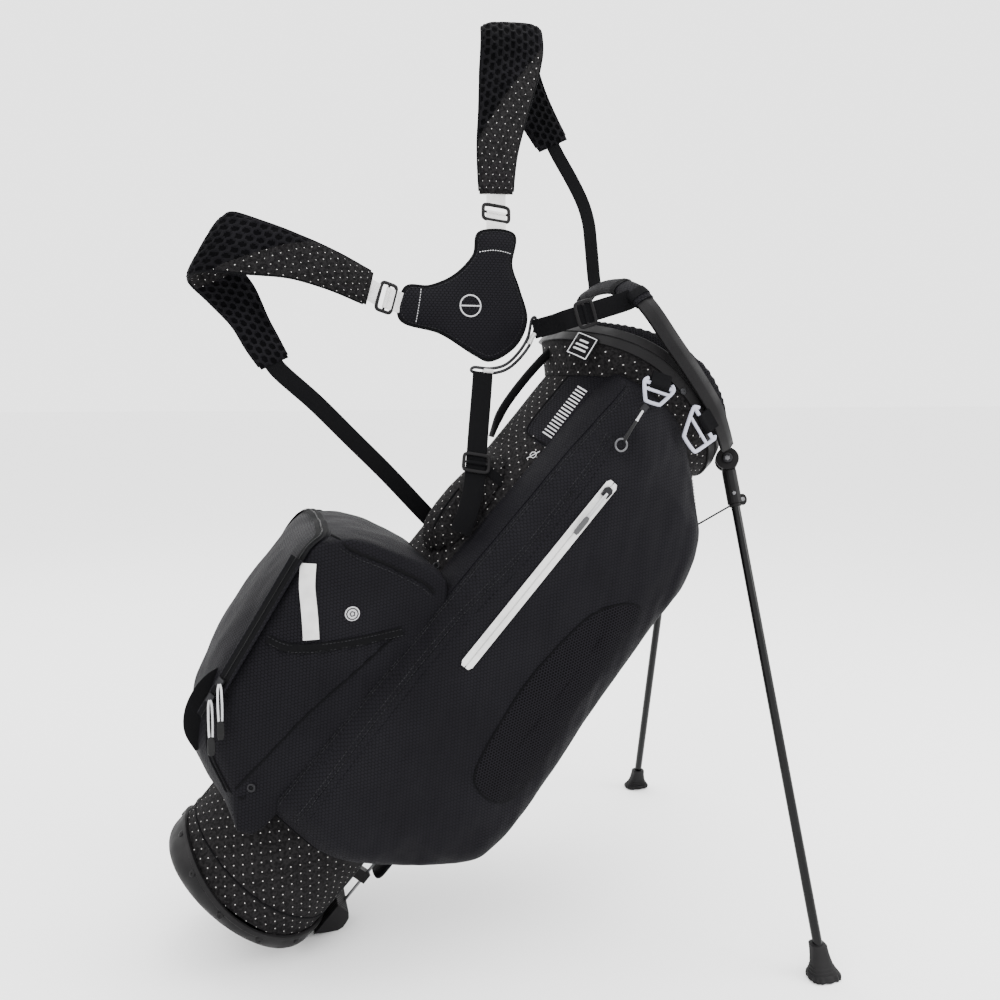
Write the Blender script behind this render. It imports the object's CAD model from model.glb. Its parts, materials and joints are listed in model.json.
"""Looks of the golf stand bag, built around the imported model. Metres throughout.

Two frames besides the row frame:
  bag    origin under the base cup, +Z up the bag's axis, +X towards the legs, -Y the near side
  stand  the row frame shifted along X, used for the harness
"""
import json
import math

import bmesh
import bpy
import numpy as np
from mathutils import Matrix, Vector, noise
from mathutils.bvhtree import BVHTree

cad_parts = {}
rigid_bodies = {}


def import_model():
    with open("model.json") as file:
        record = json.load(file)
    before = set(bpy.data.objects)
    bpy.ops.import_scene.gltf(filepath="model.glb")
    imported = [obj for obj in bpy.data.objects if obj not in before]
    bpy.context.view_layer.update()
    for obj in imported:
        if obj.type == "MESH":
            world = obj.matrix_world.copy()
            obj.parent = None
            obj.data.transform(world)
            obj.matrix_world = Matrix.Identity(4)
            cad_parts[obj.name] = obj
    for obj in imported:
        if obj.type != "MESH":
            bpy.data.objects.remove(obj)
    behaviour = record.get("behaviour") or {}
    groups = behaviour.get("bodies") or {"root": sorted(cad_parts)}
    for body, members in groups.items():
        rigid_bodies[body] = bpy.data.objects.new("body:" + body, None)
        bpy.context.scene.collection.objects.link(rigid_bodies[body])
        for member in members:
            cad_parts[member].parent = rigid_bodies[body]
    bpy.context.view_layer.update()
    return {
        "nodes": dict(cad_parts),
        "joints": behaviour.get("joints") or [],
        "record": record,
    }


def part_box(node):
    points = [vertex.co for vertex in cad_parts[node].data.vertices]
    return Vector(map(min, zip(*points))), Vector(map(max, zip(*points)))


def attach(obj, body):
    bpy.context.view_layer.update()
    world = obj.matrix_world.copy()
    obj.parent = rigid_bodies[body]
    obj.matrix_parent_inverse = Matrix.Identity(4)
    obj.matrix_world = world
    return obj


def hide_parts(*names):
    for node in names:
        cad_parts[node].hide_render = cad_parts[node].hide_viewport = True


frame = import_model()
NODES = frame["nodes"]
JOINTS = {joint["name"]: joint for joint in frame["joints"]}
MOUNTS = {mount["name"]: mount for mount in frame["record"]["mounts"]}

# --- frames ---------------------------------------------------------------------------
BAG_UP = Vector(JOINTS["actuator_slide"]["axis"]).normalized()
BAG_BELLY = Vector((0, 1, 0)).cross(BAG_UP)
BAG = Matrix.Translation(MOUNTS["base_underside"]["pos_m"]) @ Matrix(
    (BAG_BELLY, (0, 1, 0), BAG_UP)).transposed().to_4x4()
BAG_TURN, BAG_BACK = BAG.to_3x3(), BAG.inverted()
NEAR_OUT = Vector((0, -1, 0))
FOOT_X = 0.5931
STAND = Matrix.Translation((MOUNTS["near_foot_sole"]["pos_m"][0] - FOOT_X, 0, 0))

# --- sizes of the bag, bag frame ---------------------------------------------------------
BASE_R, BASE_EDGE, BASE_RIM, BASE_WAVE, BASE_WALL = 0.111, 0.022, 0.034, 0.012, 0.0033
TUBE_LOW, TUBE_HIGH, TUBE_WALL = 0.0245, 0.85, 0.0025
COLLAR_X, COLLAR_A, COLLAR_B, COLLAR_POWER = -0.018, 0.139, 0.122, 2.5
RIM_PEAK, RIM_PEAK_X = 0.868, -0.03
CUFF_A, CUFF_B, CUFF_X = 0.1220, 0.1055, -0.0165
DIVIDER_TOP = 0.814
POCKET_OUTLINE = (
    (-0.086, 0.165), (-0.078, 0.146), (-0.031, 0.139), (0.014, 0.138), (0.050, 0.149), (0.103, 0.178),
    (0.172, 0.230), (0.189, 0.268), (0.189, 0.346), (0.175, 0.478), (0.166, 0.608),
    (0.165, 0.666), (0.144, 0.721), (0.123, 0.745), (0.076, 0.788), (0.016, 0.822),
    (-0.040, 0.824), (-0.076, 0.812), (-0.086, 0.790), (-0.086, 0.560), (-0.086, 0.330))
POCKET_CORE = ((0.050, 0.270), (0.020, 0.720))
POCKET_LEVELS = ((0.070, 0.0), (0.098, 0.001), (0.114, 0.003), (0.133, 0.009), (0.148, 0.020),
                 (0.156, 0.034))
BALL_OUTLINE = (
    (-0.060, 0.150), (-0.075, 0.112), (-0.119, 0.112), (-0.155, 0.125), (-0.185, 0.143),
    (-0.207, 0.174), (-0.222, 0.210), (-0.236, 0.262), (-0.244, 0.345), (-0.240, 0.414),
    (-0.218, 0.442), (-0.185, 0.464), (-0.125, 0.482), (-0.080, 0.478), (-0.060, 0.430),
    (-0.055, 0.300))
BALL_CORE = ((-0.135, 0.215), (-0.150, 0.385))
BALL_LEVELS = ((0.0, 0.0), (0.060, 0.003), (0.100, 0.014), (0.120, 0.026), (0.132, 0.042))
BALL_FRONT = -0.0868
ZIP_TOP, ZIP_END, ZIP_Y = Vector((-0.0150, 0.694)), Vector((-0.0110, 0.417)), -0.1572
RING_PLANE = -0.1440
RING_CORNERS = (((-0.062, 0.8120), (-0.027, 0.8280), (-0.028, 0.8035), (-0.046, 0.7950)),
                ((0.0090, 0.8320), (0.0540, 0.8200), (0.0460, 0.7925), (0.0210, 0.7970)))


# --- camera, stage and light ----------------------------------------------------------------
def build_stage():
    scene = bpy.context.scene
    yaw, pitch = 0.2725, 0.1213
    eye = STAND @ Vector((-0.0551, -1.1461, 0.7014))
    ahead = Vector((math.sin(yaw) * math.cos(pitch), math.cos(yaw) * math.cos(pitch), -math.sin(pitch)))
    camera = bpy.data.objects.new("camera", bpy.data.cameras.new("camera"))
    scene.collection.objects.link(camera)
    camera.location = eye
    camera.rotation_euler = ahead.to_track_quat("-Z", "Y").to_euler()
    camera.data.lens, camera.data.sensor_width = 32.657, 36.0
    camera.data.clip_start, camera.data.clip_end = 0.05, 100.0
    scene.camera = camera

    floor = bpy.data.objects.new("floor", bpy.data.meshes.new("floor"))
    half = 30.0
    floor.data.from_pydata([(-half, -half, 0), (half, -half, 0), (half, half, 0), (-half, half, 0)],
                           [], [(0, 1, 2, 3)])
    floor.location.z = -0.001
    scene.collection.objects.link(floor)
    pale = bpy.data.materials.new("pale_floor")
    pale.use_nodes = True
    shader = pale.node_tree.nodes["Principled BSDF"]
    shader.inputs["Base Color"].default_value = (0.92, 0.92, 0.92, 1)
    shader.inputs["Roughness"].default_value = 0.9
    floor.data.materials.append(pale)

    world = bpy.data.worlds.new("studio")
    world.use_nodes = True
    background = world.node_tree.nodes["Background"]
    background.inputs["Color"].default_value = (1, 1, 1, 1)
    background.inputs["Strength"].default_value = 2.8
    scene.world = world
    for name, spot, size, power in (
            ("key", (-1.6, -1.8, 2.6), 1.6, 42), ("top", (0.2, 0.2, 3.2), 2.0, 60),
            ("side", (2.2, -1.0, 1.4), 1.2, 45), ("rim", (-1.2, 2.2, 2.0), 1.4, 18)):
        light = bpy.data.objects.new(name, bpy.data.lights.new(name, "AREA"))
        light.data.size, light.data.energy = size, power
        light.location = spot
        aim = Vector((0, 0, 0.6)) - Vector(spot)
        light.rotation_euler = aim.to_track_quat("-Z", "Y").to_euler()
        scene.collection.objects.link(light)


# --- material helpers -------------------------------------------------------------------------
class Nodes:
    """Short names for building a material's node tree."""

    def __init__(self, name, rough, metal=0.0, **shader_values):
        self.mat = bpy.data.materials.new(name)
        self.mat.use_nodes = True
        self.tree = self.mat.node_tree
        self.shader = self.tree.nodes["Principled BSDF"]
        self.shader.inputs["Roughness"].default_value = rough
        self.shader.inputs["Metallic"].default_value = metal
        for key, value in shader_values.items():
            self.shader.inputs[key.replace("_", " ")].default_value = value

    def put(self, node, key, value):
        if isinstance(value, bpy.types.NodeSocket):
            self.tree.links.new(value, node.inputs[key])
        else:
            node.inputs[key].default_value = value

    def math(self, operation, *values, clamp=False):
        node = self.tree.nodes.new("ShaderNodeMath")
        node.operation, node.use_clamp = operation, clamp
        for key, value in enumerate(values):
            self.put(node, key, value)
        return node.outputs[0]

    def vector(self, operation, *values):
        node = self.tree.nodes.new("ShaderNodeVectorMath")
        node.operation = operation
        for key, value in enumerate(values):
            self.put(node, key, value)
        return node.outputs["Value" if operation in ("LENGTH", "DOT_PRODUCT") else "Vector"]

    def split(self, vector):
        node = self.tree.nodes.new("ShaderNodeSeparateXYZ")
        self.put(node, 0, vector)
        return node.outputs[0], node.outputs[1]

    def weave(self):
        """The surface's own metres: across the cloth and along it."""
        node = self.tree.nodes.new("ShaderNodeUVMap")
        node.uv_map = "weave"
        return node.outputs[0]

    def place(self):
        return self.tree.nodes.new("ShaderNodeTexCoord").outputs["Object"]

    def noise(self, scale, detail=3.0, vector=None, rough=0.5):
        node = self.tree.nodes.new("ShaderNodeTexNoise")
        node.inputs["Scale"].default_value = scale
        node.inputs["Detail"].default_value = detail
        node.inputs["Roughness"].default_value = rough
        self.put(node, "Vector", vector if vector is not None else self.place())
        return node.outputs["Fac"]

    def ramp(self, value, low, high, to_low=0.0, to_high=1.0):
        node = self.tree.nodes.new("ShaderNodeMapRange")
        node.interpolation_type = "SMOOTHSTEP"
        self.put(node, "Value", value)
        for key, number in zip(("From Min", "From Max", "To Min", "To Max"), (low, high, to_low, to_high)):
            node.inputs[key].default_value = number
        return node.outputs["Result"]

    def mix(self, factor, first, second):
        node = self.tree.nodes.new("ShaderNodeMix")
        node.data_type = "RGBA"
        self.put(node, "Factor", factor)
        for key, colour in ((6, first), (7, second)):
            self.put(node, key, colour if isinstance(colour, bpy.types.NodeSocket) else (*colour, 1))
        return node.outputs[2]

    def colour(self, socket):
        self.tree.links.new(socket, self.shader.inputs["Base Color"])

    def rough(self, socket):
        self.tree.links.new(socket, self.shader.inputs["Roughness"])

    def bump(self, height, distance, strength=1.0):
        node = self.tree.nodes.new("ShaderNodeBump")
        node.inputs["Strength"].default_value = strength
        node.inputs["Distance"].default_value = distance
        self.put(node, "Height", height)
        self.tree.links.new(node.outputs[0], self.shader.inputs["Normal"])

    def hexagons(self, pitch, squash=1.0):
        """0 in the middle of each hexagon of a honeycomb, 0.5 on its edges."""
        size = (1.0, math.sqrt(3), 1.0)
        point = self.vector("MULTIPLY", self.weave(), (1 / pitch, squash / pitch, 0))
        depths = []
        for shift in (0.0, 0.5):
            moved = self.vector("ADD", point, tuple(s * shift for s in size))
            cell = self.vector("WRAP", moved, tuple(s / 2 for s in size), tuple(-s / 2 for s in size))
            x, y = self.split(self.vector("ABSOLUTE", cell))
            slant = self.math("ADD", self.math("MULTIPLY", x, 0.5), self.math("MULTIPLY", y, 0.866))
            depths.append(self.math("MAXIMUM", x, slant))
        return self.math("MINIMUM", *depths)

    def cloth(self, pitch):
        """Plain weave: threads over and under, 0 to 1."""
        x, y = self.split(self.vector("MULTIPLY", self.weave(), (math.pi / pitch, math.pi / pitch, 0)))
        return self.math("MULTIPLY", self.math("ABSOLUTE", self.math("SINE", x)),
                         self.math("ABSOLUTE", self.math("SINE", y)))


def ripstop():
    """Black honeycomb ripstop: small plump cells with sunken dark threads round them."""
    n = Nodes("ripstop", 0.75, IOR=1.16)
    edge = n.ramp(n.hexagons(0.0048, 1.35), 0.37, 0.48)
    tone = n.noise(9.0)
    cell = n.mix(n.ramp(tone, 0.3, 0.7), (0.0033, 0.0030, 0.0044), (0.0052, 0.0049, 0.0066))
    n.colour(n.mix(edge, cell, (0.0007, 0.0007, 0.0010)))
    n.rough(n.ramp(edge, 0, 1, 0.66, 0.85))
    fine = n.cloth(0.0007)
    n.bump(n.math("SUBTRACT", n.math("MULTIPLY", fine, 0.35), edge), 0.00030)
    return n.mat


def dotted():
    """Charcoal cloth with a staggered grid of small white dots."""
    n = Nodes("dotted_fabric", 0.85, IOR=1.16)
    turned = n.weave()
    x, y = n.split(turned)
    combine = n.tree.nodes.new("ShaderNodeCombineXYZ")
    n.put(combine, 0, n.math("ADD", x, y))
    n.put(combine, 1, n.math("SUBTRACT", x, y))
    pitch, radius = 0.0160, 0.00066
    point = n.vector("MULTIPLY", combine.outputs[0], (1 / pitch, 1 / pitch, 0))
    cell = n.vector("WRAP", point, (0.5, 0.5, 0.5), (-0.5, -0.5, -0.5))
    a, b = n.split(n.vector("ABSOLUTE", cell))
    dot = n.ramp(n.math("MAXIMUM", a, b), radius * 1.5 / pitch, radius * 1.15 / pitch)
    tone = n.noise(300.0, 2.0)
    ground = n.mix(n.ramp(tone, 0.35, 0.65), (0.0034, 0.0031, 0.0034), (0.0105, 0.0099, 0.0103))
    n.colour(n.mix(dot, ground, (0.46, 0.45, 0.44)))
    n.bump(n.math("ADD", n.cloth(0.0008), n.math("MULTIPLY", dot, 0.6)), 0.0002)
    return n.mat


def mesh_cloth():
    """Open spacer mesh: thick strands round dark holes."""
    n = Nodes("spacer_mesh", 0.85, IOR=1.14)
    strand = n.ramp(n.hexagons(0.0036), 0.22, 0.40)
    n.colour(n.mix(strand, (0.0005, 0.0005, 0.0006), (0.0062, 0.0058, 0.0074)))
    n.bump(n.math("ADD", strand, n.math("MULTIPLY", n.cloth(0.0006), 0.2)), 0.0006)
    return n.mat


def webbing():
    """Tight woven strap: ribs across it, and a herringbone along it."""
    n = Nodes("webbing", 0.75, IOR=1.12)
    x, y = n.split(n.weave())
    rib = n.math("SINE", n.math("MULTIPLY", y, 2 * math.pi / 0.0013))
    zigzag = n.math("PINGPONG", n.math("MULTIPLY", x, 1.0), 0.0022)
    line = n.math("SINE", n.math("MULTIPLY", n.math("ADD", y, zigzag), 2 * math.pi / 0.0017))
    height = n.math("ADD", n.math("MULTIPLY", rib, 0.4), n.math("MULTIPLY", line, 0.5))
    n.colour(n.mix(n.ramp(height, -0.7, 0.7), (0.0012, 0.0012, 0.0014), (0.0042, 0.0042, 0.0048)))
    n.bump(height, 0.00016)
    return n.mat


def white_tape():
    n = Nodes("white_trim", 0.6, Specular_IOR_Level=0.2)
    tone = n.noise(60.0)
    n.colour(n.mix(n.ramp(tone, 0.3, 0.7), (0.50, 0.495, 0.49), (0.60, 0.595, 0.59)))
    n.bump(n.cloth(0.0008), 0.00018)
    return n.mat


def moulded(name, dark, light, rough, grain, depth, gloss=0.2, **extra):
    """Moulded plastic or rubber: a fine grain, and slow changes of tone and gloss."""
    n = Nodes(name, rough, Specular_IOR_Level=gloss, **extra)
    n.colour(n.mix(n.ramp(n.noise(14.0), 0.3, 0.7), dark, light))
    n.rough(n.ramp(n.noise(45.0, 4.0), 0.3, 0.7, rough - 0.07, rough + 0.08))
    n.bump(n.noise(grain, 3.0), depth)
    return n.mat


def metal(name, dark, light, rough):
    n = Nodes(name, rough, 1.0)
    n.colour(n.mix(n.ramp(n.noise(35.0, 4.0), 0.3, 0.7), dark, light))
    n.rough(n.ramp(n.noise(180.0, 4.0), 0.3, 0.7, rough - 0.06, rough + 0.1))
    n.bump(n.noise(900.0, 2.0), 0.00004)
    return n.mat


def stitch_thread():
    n = Nodes("thread", 0.7, Specular_IOR_Level=0.1)
    n.colour(n.mix(n.ramp(n.noise(200.0), 0.3, 0.7), (0.0050, 0.0050, 0.0055), (0.018, 0.018, 0.020)))
    n.bump(n.noise(2500.0), 0.0001)
    return n.mat


MATS = {
    "ripstop": ripstop(), "dotted_fabric": dotted(), "spacer_mesh": mesh_cloth(), "webbing": webbing(),
    "white_trim": white_tape(), "thread": stitch_thread(),
    "steel": metal("steel", (0.075, 0.075, 0.080), (0.15, 0.15, 0.155), 0.34),
    "dark_steel": metal("dark_steel", (0.012, 0.012, 0.013), (0.030, 0.030, 0.032), 0.40)}
# name, darkest and lightest colour, roughness, the grain's scale and depth, gloss
for row in (
        ("pale_thread", (0.32, 0.32, 0.33), (0.48, 0.48, 0.49), 0.6, 2000.0, 0.0001),
        ("plastic", (0.0030, 0.0028, 0.0031), (0.0060, 0.0057, 0.0061), 0.50, 1400.0, 0.00006, 0.10),
        ("rubber", (0.0035, 0.0033, 0.0036), (0.0070, 0.0066, 0.0070), 0.6, 900.0, 0.0001, 0.12),
        ("ring_plastic", (0.27, 0.275, 0.33), (0.35, 0.355, 0.42), 0.38, 1200.0, 0.00004),
        ("black_tube", (0.0012, 0.0012, 0.0014), (0.0022, 0.0022, 0.0025), 0.24, 300.0, 0.00002, 0.16),
        ("dark_plastic", (0.0020, 0.0020, 0.0022), (0.0045, 0.0045, 0.0048), 0.38, 1200.0, 0.00005, 0.15),
        ("grey_plastic", (0.045, 0.045, 0.047), (0.075, 0.075, 0.078), 0.45, 1200.0, 0.00005)):
    MATS[row[0]] = moulded(*row)
# the same for three soft finishes, with their IOR last
for *row, ior in (
        ("pad_mesh", (0.0022, 0.0021, 0.0027), (0.0048, 0.0045, 0.0056), 0.8, 1500.0, 0.0002, 0.5, 1.14),
        ("lining", (0.0030, 0.0030, 0.0034), (0.0062, 0.0062, 0.0068), 0.85, 500.0, 0.0002, 0.5, 1.14),
        ("pad_hole", (0.0006, 0.0006, 0.0008), (0.0014, 0.0013, 0.0017), 0.9, 1500.0, 0.0002, 0.5, 1.12)):
    MATS[row[0]] = moulded(*row, IOR=ior)


# --- mesh helpers ------------------------------------------------------------------------------
def clamp(value):
    return max(0.0, min(1.0, value))


def turns(count):
    """Evenly spaced angles of a full turn."""
    return [2 * math.pi * i / count for i in range(count)]


def circle(x, y, z, radius, count):
    """Points of an upright circle that faces along Y."""
    return [Vector((x + radius * math.cos(a), y, z + radius * math.sin(a))) for a in turns(count)]


def on_segment(p, a, b):
    """The point between a and b that is nearest to p."""
    return a.lerp(b, clamp((p - a).dot(b - a) / (b - a).length_squared))


def new_object(name, verts, faces, mat, body="bag", slot=None, replaces=(), uvs=None, sharp=40):
    mesh = bpy.data.meshes.new(name)
    mesh.from_pydata([tuple(v) for v in verts], [], faces)
    mesh.materials.append(MATS[mat])
    if uvs is not None:
        layer = mesh.uv_layers.new(name="weave")
        flat = [c for face in uvs for pair in face for c in pair]
        layer.data.foreach_set("uv", flat)
    mesh.shade_smooth()
    mesh.set_sharp_from_angle(angle=math.radians(sharp))
    obj = bpy.data.objects.new(name, mesh)
    bpy.context.scene.collection.objects.link(obj)
    return dress(obj, body, replaces)


def dress(obj, body, replaces=()):
    if obj.parent is None:
        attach(obj, body)
    if replaces:
        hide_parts(*replaces)
    return obj


def skin(rows, closed_u=True, closed_v=False, caps=True):
    """Quads over rows of points, with the surface's own metres as UVs."""
    count, height = len(rows[0]), len(rows)
    rows = [[Vector(p) for p in row] for row in rows]
    verts = [p for row in rows for p in row]
    middle = rows[height // 2]
    across = [0.0]
    for j in range(count):
        across.append(across[-1] + (middle[(j + 1) % count] - middle[j]).length)
    along = [0.0]
    for i in range(height):
        after = rows[(i + 1) % height]
        along.append(along[-1] + (after[count // 4] - rows[i][count // 4]).length)
    faces, uvs = [], []
    for i in range(height if closed_v else height - 1):
        for j in range(count if closed_u else count - 1):
            a, b = i * count, (i + 1) % height * count
            k = (j + 1) % count
            faces.append((a + j, a + k, b + k, b + j))
            uvs.append(((across[j], along[i]), (across[j + 1], along[i]),
                        (across[j + 1], along[i + 1]), (across[j], along[i + 1])))
    if caps and closed_u and not closed_v:
        for start in (0, (height - 1) * count):
            face = tuple(range(start, start + count))
            faces.append(face)
            uvs.append(tuple((0.0, 0.0) for _ in face))
    return verts, faces, uvs


def merged(parts):
    """Points and faces of several closed skins, as one mesh."""
    verts, faces = [], []
    for rows in parts:
        more, quads, _ = skin(rows)
        base = len(verts)
        verts += more
        faces += [tuple(base + k for k in face) for face in quads]
    return verts, faces


def no_weave(faces):
    """UVs for pieces too small to show a weave."""
    return [((0.0, 0.0),) * len(face) for face in faces]


def face_out(obj):
    """Turn the faces of a closed mesh outwards."""
    bm = bmesh.new()
    bm.from_mesh(obj.data)
    bmesh.ops.recalc_face_normals(bm, faces=bm.faces)
    if bm.calc_volume(signed=True) < 0:
        bmesh.ops.reverse_faces(bm, faces=bm.faces)
    bm.to_mesh(obj.data)
    bm.free()
    return obj


def lofted(name, rows, mat, body="bag", slot=None, replaces=(), closed_v=False, caps=True, sharp=40):
    verts, faces, uvs = skin(rows, True, closed_v, caps)
    return face_out(new_object(name, verts, faces, mat, body, slot, replaces, uvs, sharp))


def oval(half_a, half_b, power, count, turn=0.0):
    points = []
    for i in range(count):
        angle = 2 * math.pi * i / count + turn
        c, s = math.cos(angle), math.sin(angle)
        points.append((half_a * math.copysign(abs(c) ** (2 / power), c),
                       half_b * math.copysign(abs(s) ** (2 / power), s)))
    return points


def curve_through(points, step=0.003, cyclic=False):
    """Evenly spaced points of a Catmull-Rom curve."""
    points = [Vector(p) for p in points]
    count = len(points)
    fine = []
    for i in range(count if cyclic else count - 1):
        if cyclic:
            p0, p1, p2, p3 = (points[(i + k) % count] for k in (-1, 0, 1, 2))
        else:
            p0, p1, p2, p3 = (points[min(max(i + k, 0), count - 1)] for k in (-1, 0, 1, 2))
        for s in range(12):
            t = s / 12
            fine.append(0.5 * (2 * p1 + (p2 - p0) * t + (2 * p0 - 5 * p1 + 4 * p2 - p3) * t * t
                               + (3 * p1 - p0 - 3 * p2 + p3) * t ** 3))
    fine.append(points[0].copy() if cyclic else points[-1].copy())
    lengths = [0.0]
    for a, b in zip(fine, fine[1:]):
        lengths.append(lengths[-1] + (b - a).length)
    steps = max(2, round(lengths[-1] / step))
    targets = np.linspace(0, lengths[-1], steps + 1)[:-1 if cyclic else None]
    data = np.array([tuple(p) for p in fine])
    columns = [np.interp(targets, lengths, data[:, k]) for k in range(data.shape[1])]
    return [Vector(p) for p in zip(*columns)]


def frames_along(points, facing, cyclic=False):
    """(point, along, across, out) at each point of a path; facing is one vector or one a point."""
    result, last = [], len(points) - 1
    for i, point in enumerate(points):
        before = points[i - 1] if (i or cyclic) else point
        after = points[(i + 1) % len(points)] if (i < last or cyclic) else point
        along = (after - before).normalized()
        out = Vector(facing[i] if isinstance(facing, list) else facing)
        out = (out - along * out.dot(along)).normalized()
        result.append((point, along, along.cross(out), out))
    return result


def turned(name, spot, axes, profile, count, mat, body="bag", slot=None, replaces=(), closed=False):
    """A turned piece: rings of (radius, height) round spot. Its axes are two across it and one along it."""
    side, up, out = axes
    rows = [[spot + side * r * math.cos(a) + up * r * math.sin(a) + out * h for a in turns(count)]
            for r, h in profile]
    return lofted(name, rows, mat, body, slot, replaces, closed_v=closed)


def bar(name, points, section, facing, mat, body="bag", slot=None, replaces=(), cyclic=False, sharp=40):
    """Sweep a section, (across, out) points, along a path."""
    rows = [[p + across * a + out * b for a, b in section]
            for p, _, across, out in frames_along(points, facing, cyclic)]
    return lofted(name, rows, mat, body, slot, replaces, closed_v=cyclic, caps=not cyclic, sharp=sharp)


def flat_section(width, thick, edge=None, crown=0.0):
    """Section of a strap with rounded edges and a slight crown."""
    edge = edge or thick * 0.5
    w, t = width / 2, thick / 2
    top = [(w, t * 0.3), (w - edge * 0.3, t * 0.85), (w - edge, t)]
    top += [(w * s, t + crown * (1 - s * s)) for s in (0.5, 0.0, -0.5)]
    top += [(-w + edge, t), (-w + edge * 0.3, t * 0.85), (-w, t * 0.3)]
    return top + [(x, -y if y <= t else -t) for x, y in reversed(top)]


class Surface:
    """Places things on a finished piece."""

    def __init__(self, *objs):
        verts, faces = [], []
        for obj in objs:
            base = len(verts)
            verts += [obj.matrix_world @ v.co for v in obj.data.vertices]
            faces += [[base + i for i in p.vertices] for p in obj.data.polygons]
        self.tree = BVHTree.FromPolygons(verts, faces)

    def lay(self, points, lift, ray=None):
        """Points moved onto the surface, lifted, with the surface's normals."""
        spots, normals = [], []
        for point in points:
            if ray is not None:
                hit = self.tree.ray_cast(point - Vector(ray) * 0.15, Vector(ray))
                hit = hit if hit[0] is not None else self.tree.find_nearest(point)
            else:
                hit = self.tree.find_nearest(point)
            spots.append(hit[0])
            normals.append(hit[1])
        normals = smooth_vectors(normals, 4)
        return [s + n * lift for s, n in zip(spots, normals)], normals


def smooth_vectors(vectors, times):
    for _ in range(times):
        vectors = [(vectors[max(i - 1, 0)] + v * 2 + vectors[min(i + 1, len(vectors) - 1)]).normalized()
                   for i, v in enumerate(vectors)]
    return vectors


def smooth_points(points, times):
    for _ in range(times):
        points = [points[0]] + [(points[i - 1] + points[i] * 2 + points[i + 1]) / 4
                                for i in range(1, len(points) - 1)] + [points[-1]]
    return points


def strip_on(name, surface, path, width, thick, mat, body="bag", lift=0.0, ray=None, replaces=(),
             step=0.004, slot=None, crown=0.0):
    points, normals = surface.lay(curve_through(path, step), thick / 2 + lift, ray)
    points = smooth_points(points, 3)
    return bar(name, points, flat_section(width, thick, crown=crown), normals, mat, body, slot, replaces)


def cord_on(name, surface, path, radius, mat, body="bag", lift=0.0, ray=None, cyclic=False, slot=None):
    points, normals = surface.lay(curve_through(path, 0.004, cyclic), lift, ray)
    if not cyclic:
        points = smooth_points(points, 2)
    return bar(name, points, oval(radius, radius, 2, 8), normals, mat, body, slot, cyclic=cyclic)


def stitches(name, surface, path, mat="thread", pitch=0.0042, ray=None, lift=0.0002):
    """A row of sewn stitches: each is a short rounded bar that dips into the cloth at its ends."""
    points, normals = surface.lay(curve_through(path, pitch), lift, ray)
    section, parts = oval(0.00045, 0.00035, 2, 6), []
    for a, b, out in zip(points, points[1:], normals):
        across = (b - a).normalized().cross(out).normalized()
        rows = []
        for t, grow, rise in ((0.14, 0.3, -0.0002), (0.30, 1.0, 0.0003), (0.70, 1.0, 0.0003),
                              (0.86, 0.3, -0.0002)):
            spot = a.lerp(b, t) + out * rise
            rows.append([spot + across * x * grow + out * y * grow for x, y in section])
        parts.append(rows)
    verts, faces = merged(parts)
    return face_out(new_object(name, verts, faces, mat, slot="webbing", uvs=no_weave(faces)))


def settle(obj):
    """Apply the modifiers."""
    graph = bpy.context.evaluated_depsgraph_get()
    mesh = bpy.data.meshes.new_from_object(obj.evaluated_get(graph), depsgraph=graph)
    obj.modifiers.clear()
    obj.data = mesh
    return obj


def remesh(obj, size, smooth=4):
    modifier = obj.modifiers.new("remesh", "REMESH")
    modifier.mode, modifier.voxel_size = "VOXEL", size
    if smooth:
        relax = obj.modifiers.new("relax", "SMOOTH")
        relax.factor, relax.iterations = 0.5, smooth
    return settle(obj)


def refine(obj, levels=1):
    modifier = obj.modifiers.new("refine", "SUBSURF")
    modifier.levels = modifier.render_levels = levels
    return settle(obj)


def inflate(obj, pressure, cap, held=None, frames=18, stiffness=15.0):
    """Fill a closed cloth shell; held(point) from 0, free, to 1, sewn down."""
    rest = np.array([v.co for v in obj.data.vertices])
    cloth = obj.modifiers.new("cloth", "CLOTH")
    settings = cloth.settings
    settings.quality = 6
    settings.use_pressure, settings.uniform_pressure_force = True, pressure
    settings.effector_weights.gravity = 0.0
    settings.tension_stiffness = settings.compression_stiffness = stiffness
    settings.shear_stiffness, settings.bending_stiffness = 5.0, 0.5
    if held:
        group = obj.vertex_groups.new(name="sewn")
        for v in obj.data.vertices:
            weight = held(v.co)
            if weight > 0:
                group.add([v.index], weight, "REPLACE")
        settings.vertex_group_mass = "sewn"
    scene = bpy.context.scene
    cloth.point_cache.frame_start, cloth.point_cache.frame_end = 1, frames
    for number in range(1, frames + 1):
        scene.frame_set(number)
    settle(obj)
    scene.frame_set(1)
    after = np.array([v.co for v in obj.data.vertices])
    moved = after - rest
    length = np.linalg.norm(moved, axis=1, keepdims=True)
    after = rest + moved * np.minimum(1.0, cap / np.maximum(length, 1e-9))
    obj.data.vertices.foreach_set("co", after.astype(np.float32).ravel())
    obj.data.update()
    return obj


def displace(obj, rule):
    """Move each vertex along its normal by rule(point in the bag frame, normal in the bag frame)."""
    turn = BAG_BACK.to_3x3()
    normals = [v.normal.copy() for v in obj.data.vertices]
    for vertex, normal in zip(obj.data.vertices, normals):
        vertex.co += normal * rule(BAG_BACK @ vertex.co, turn @ normal)
    obj.data.update()


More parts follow.
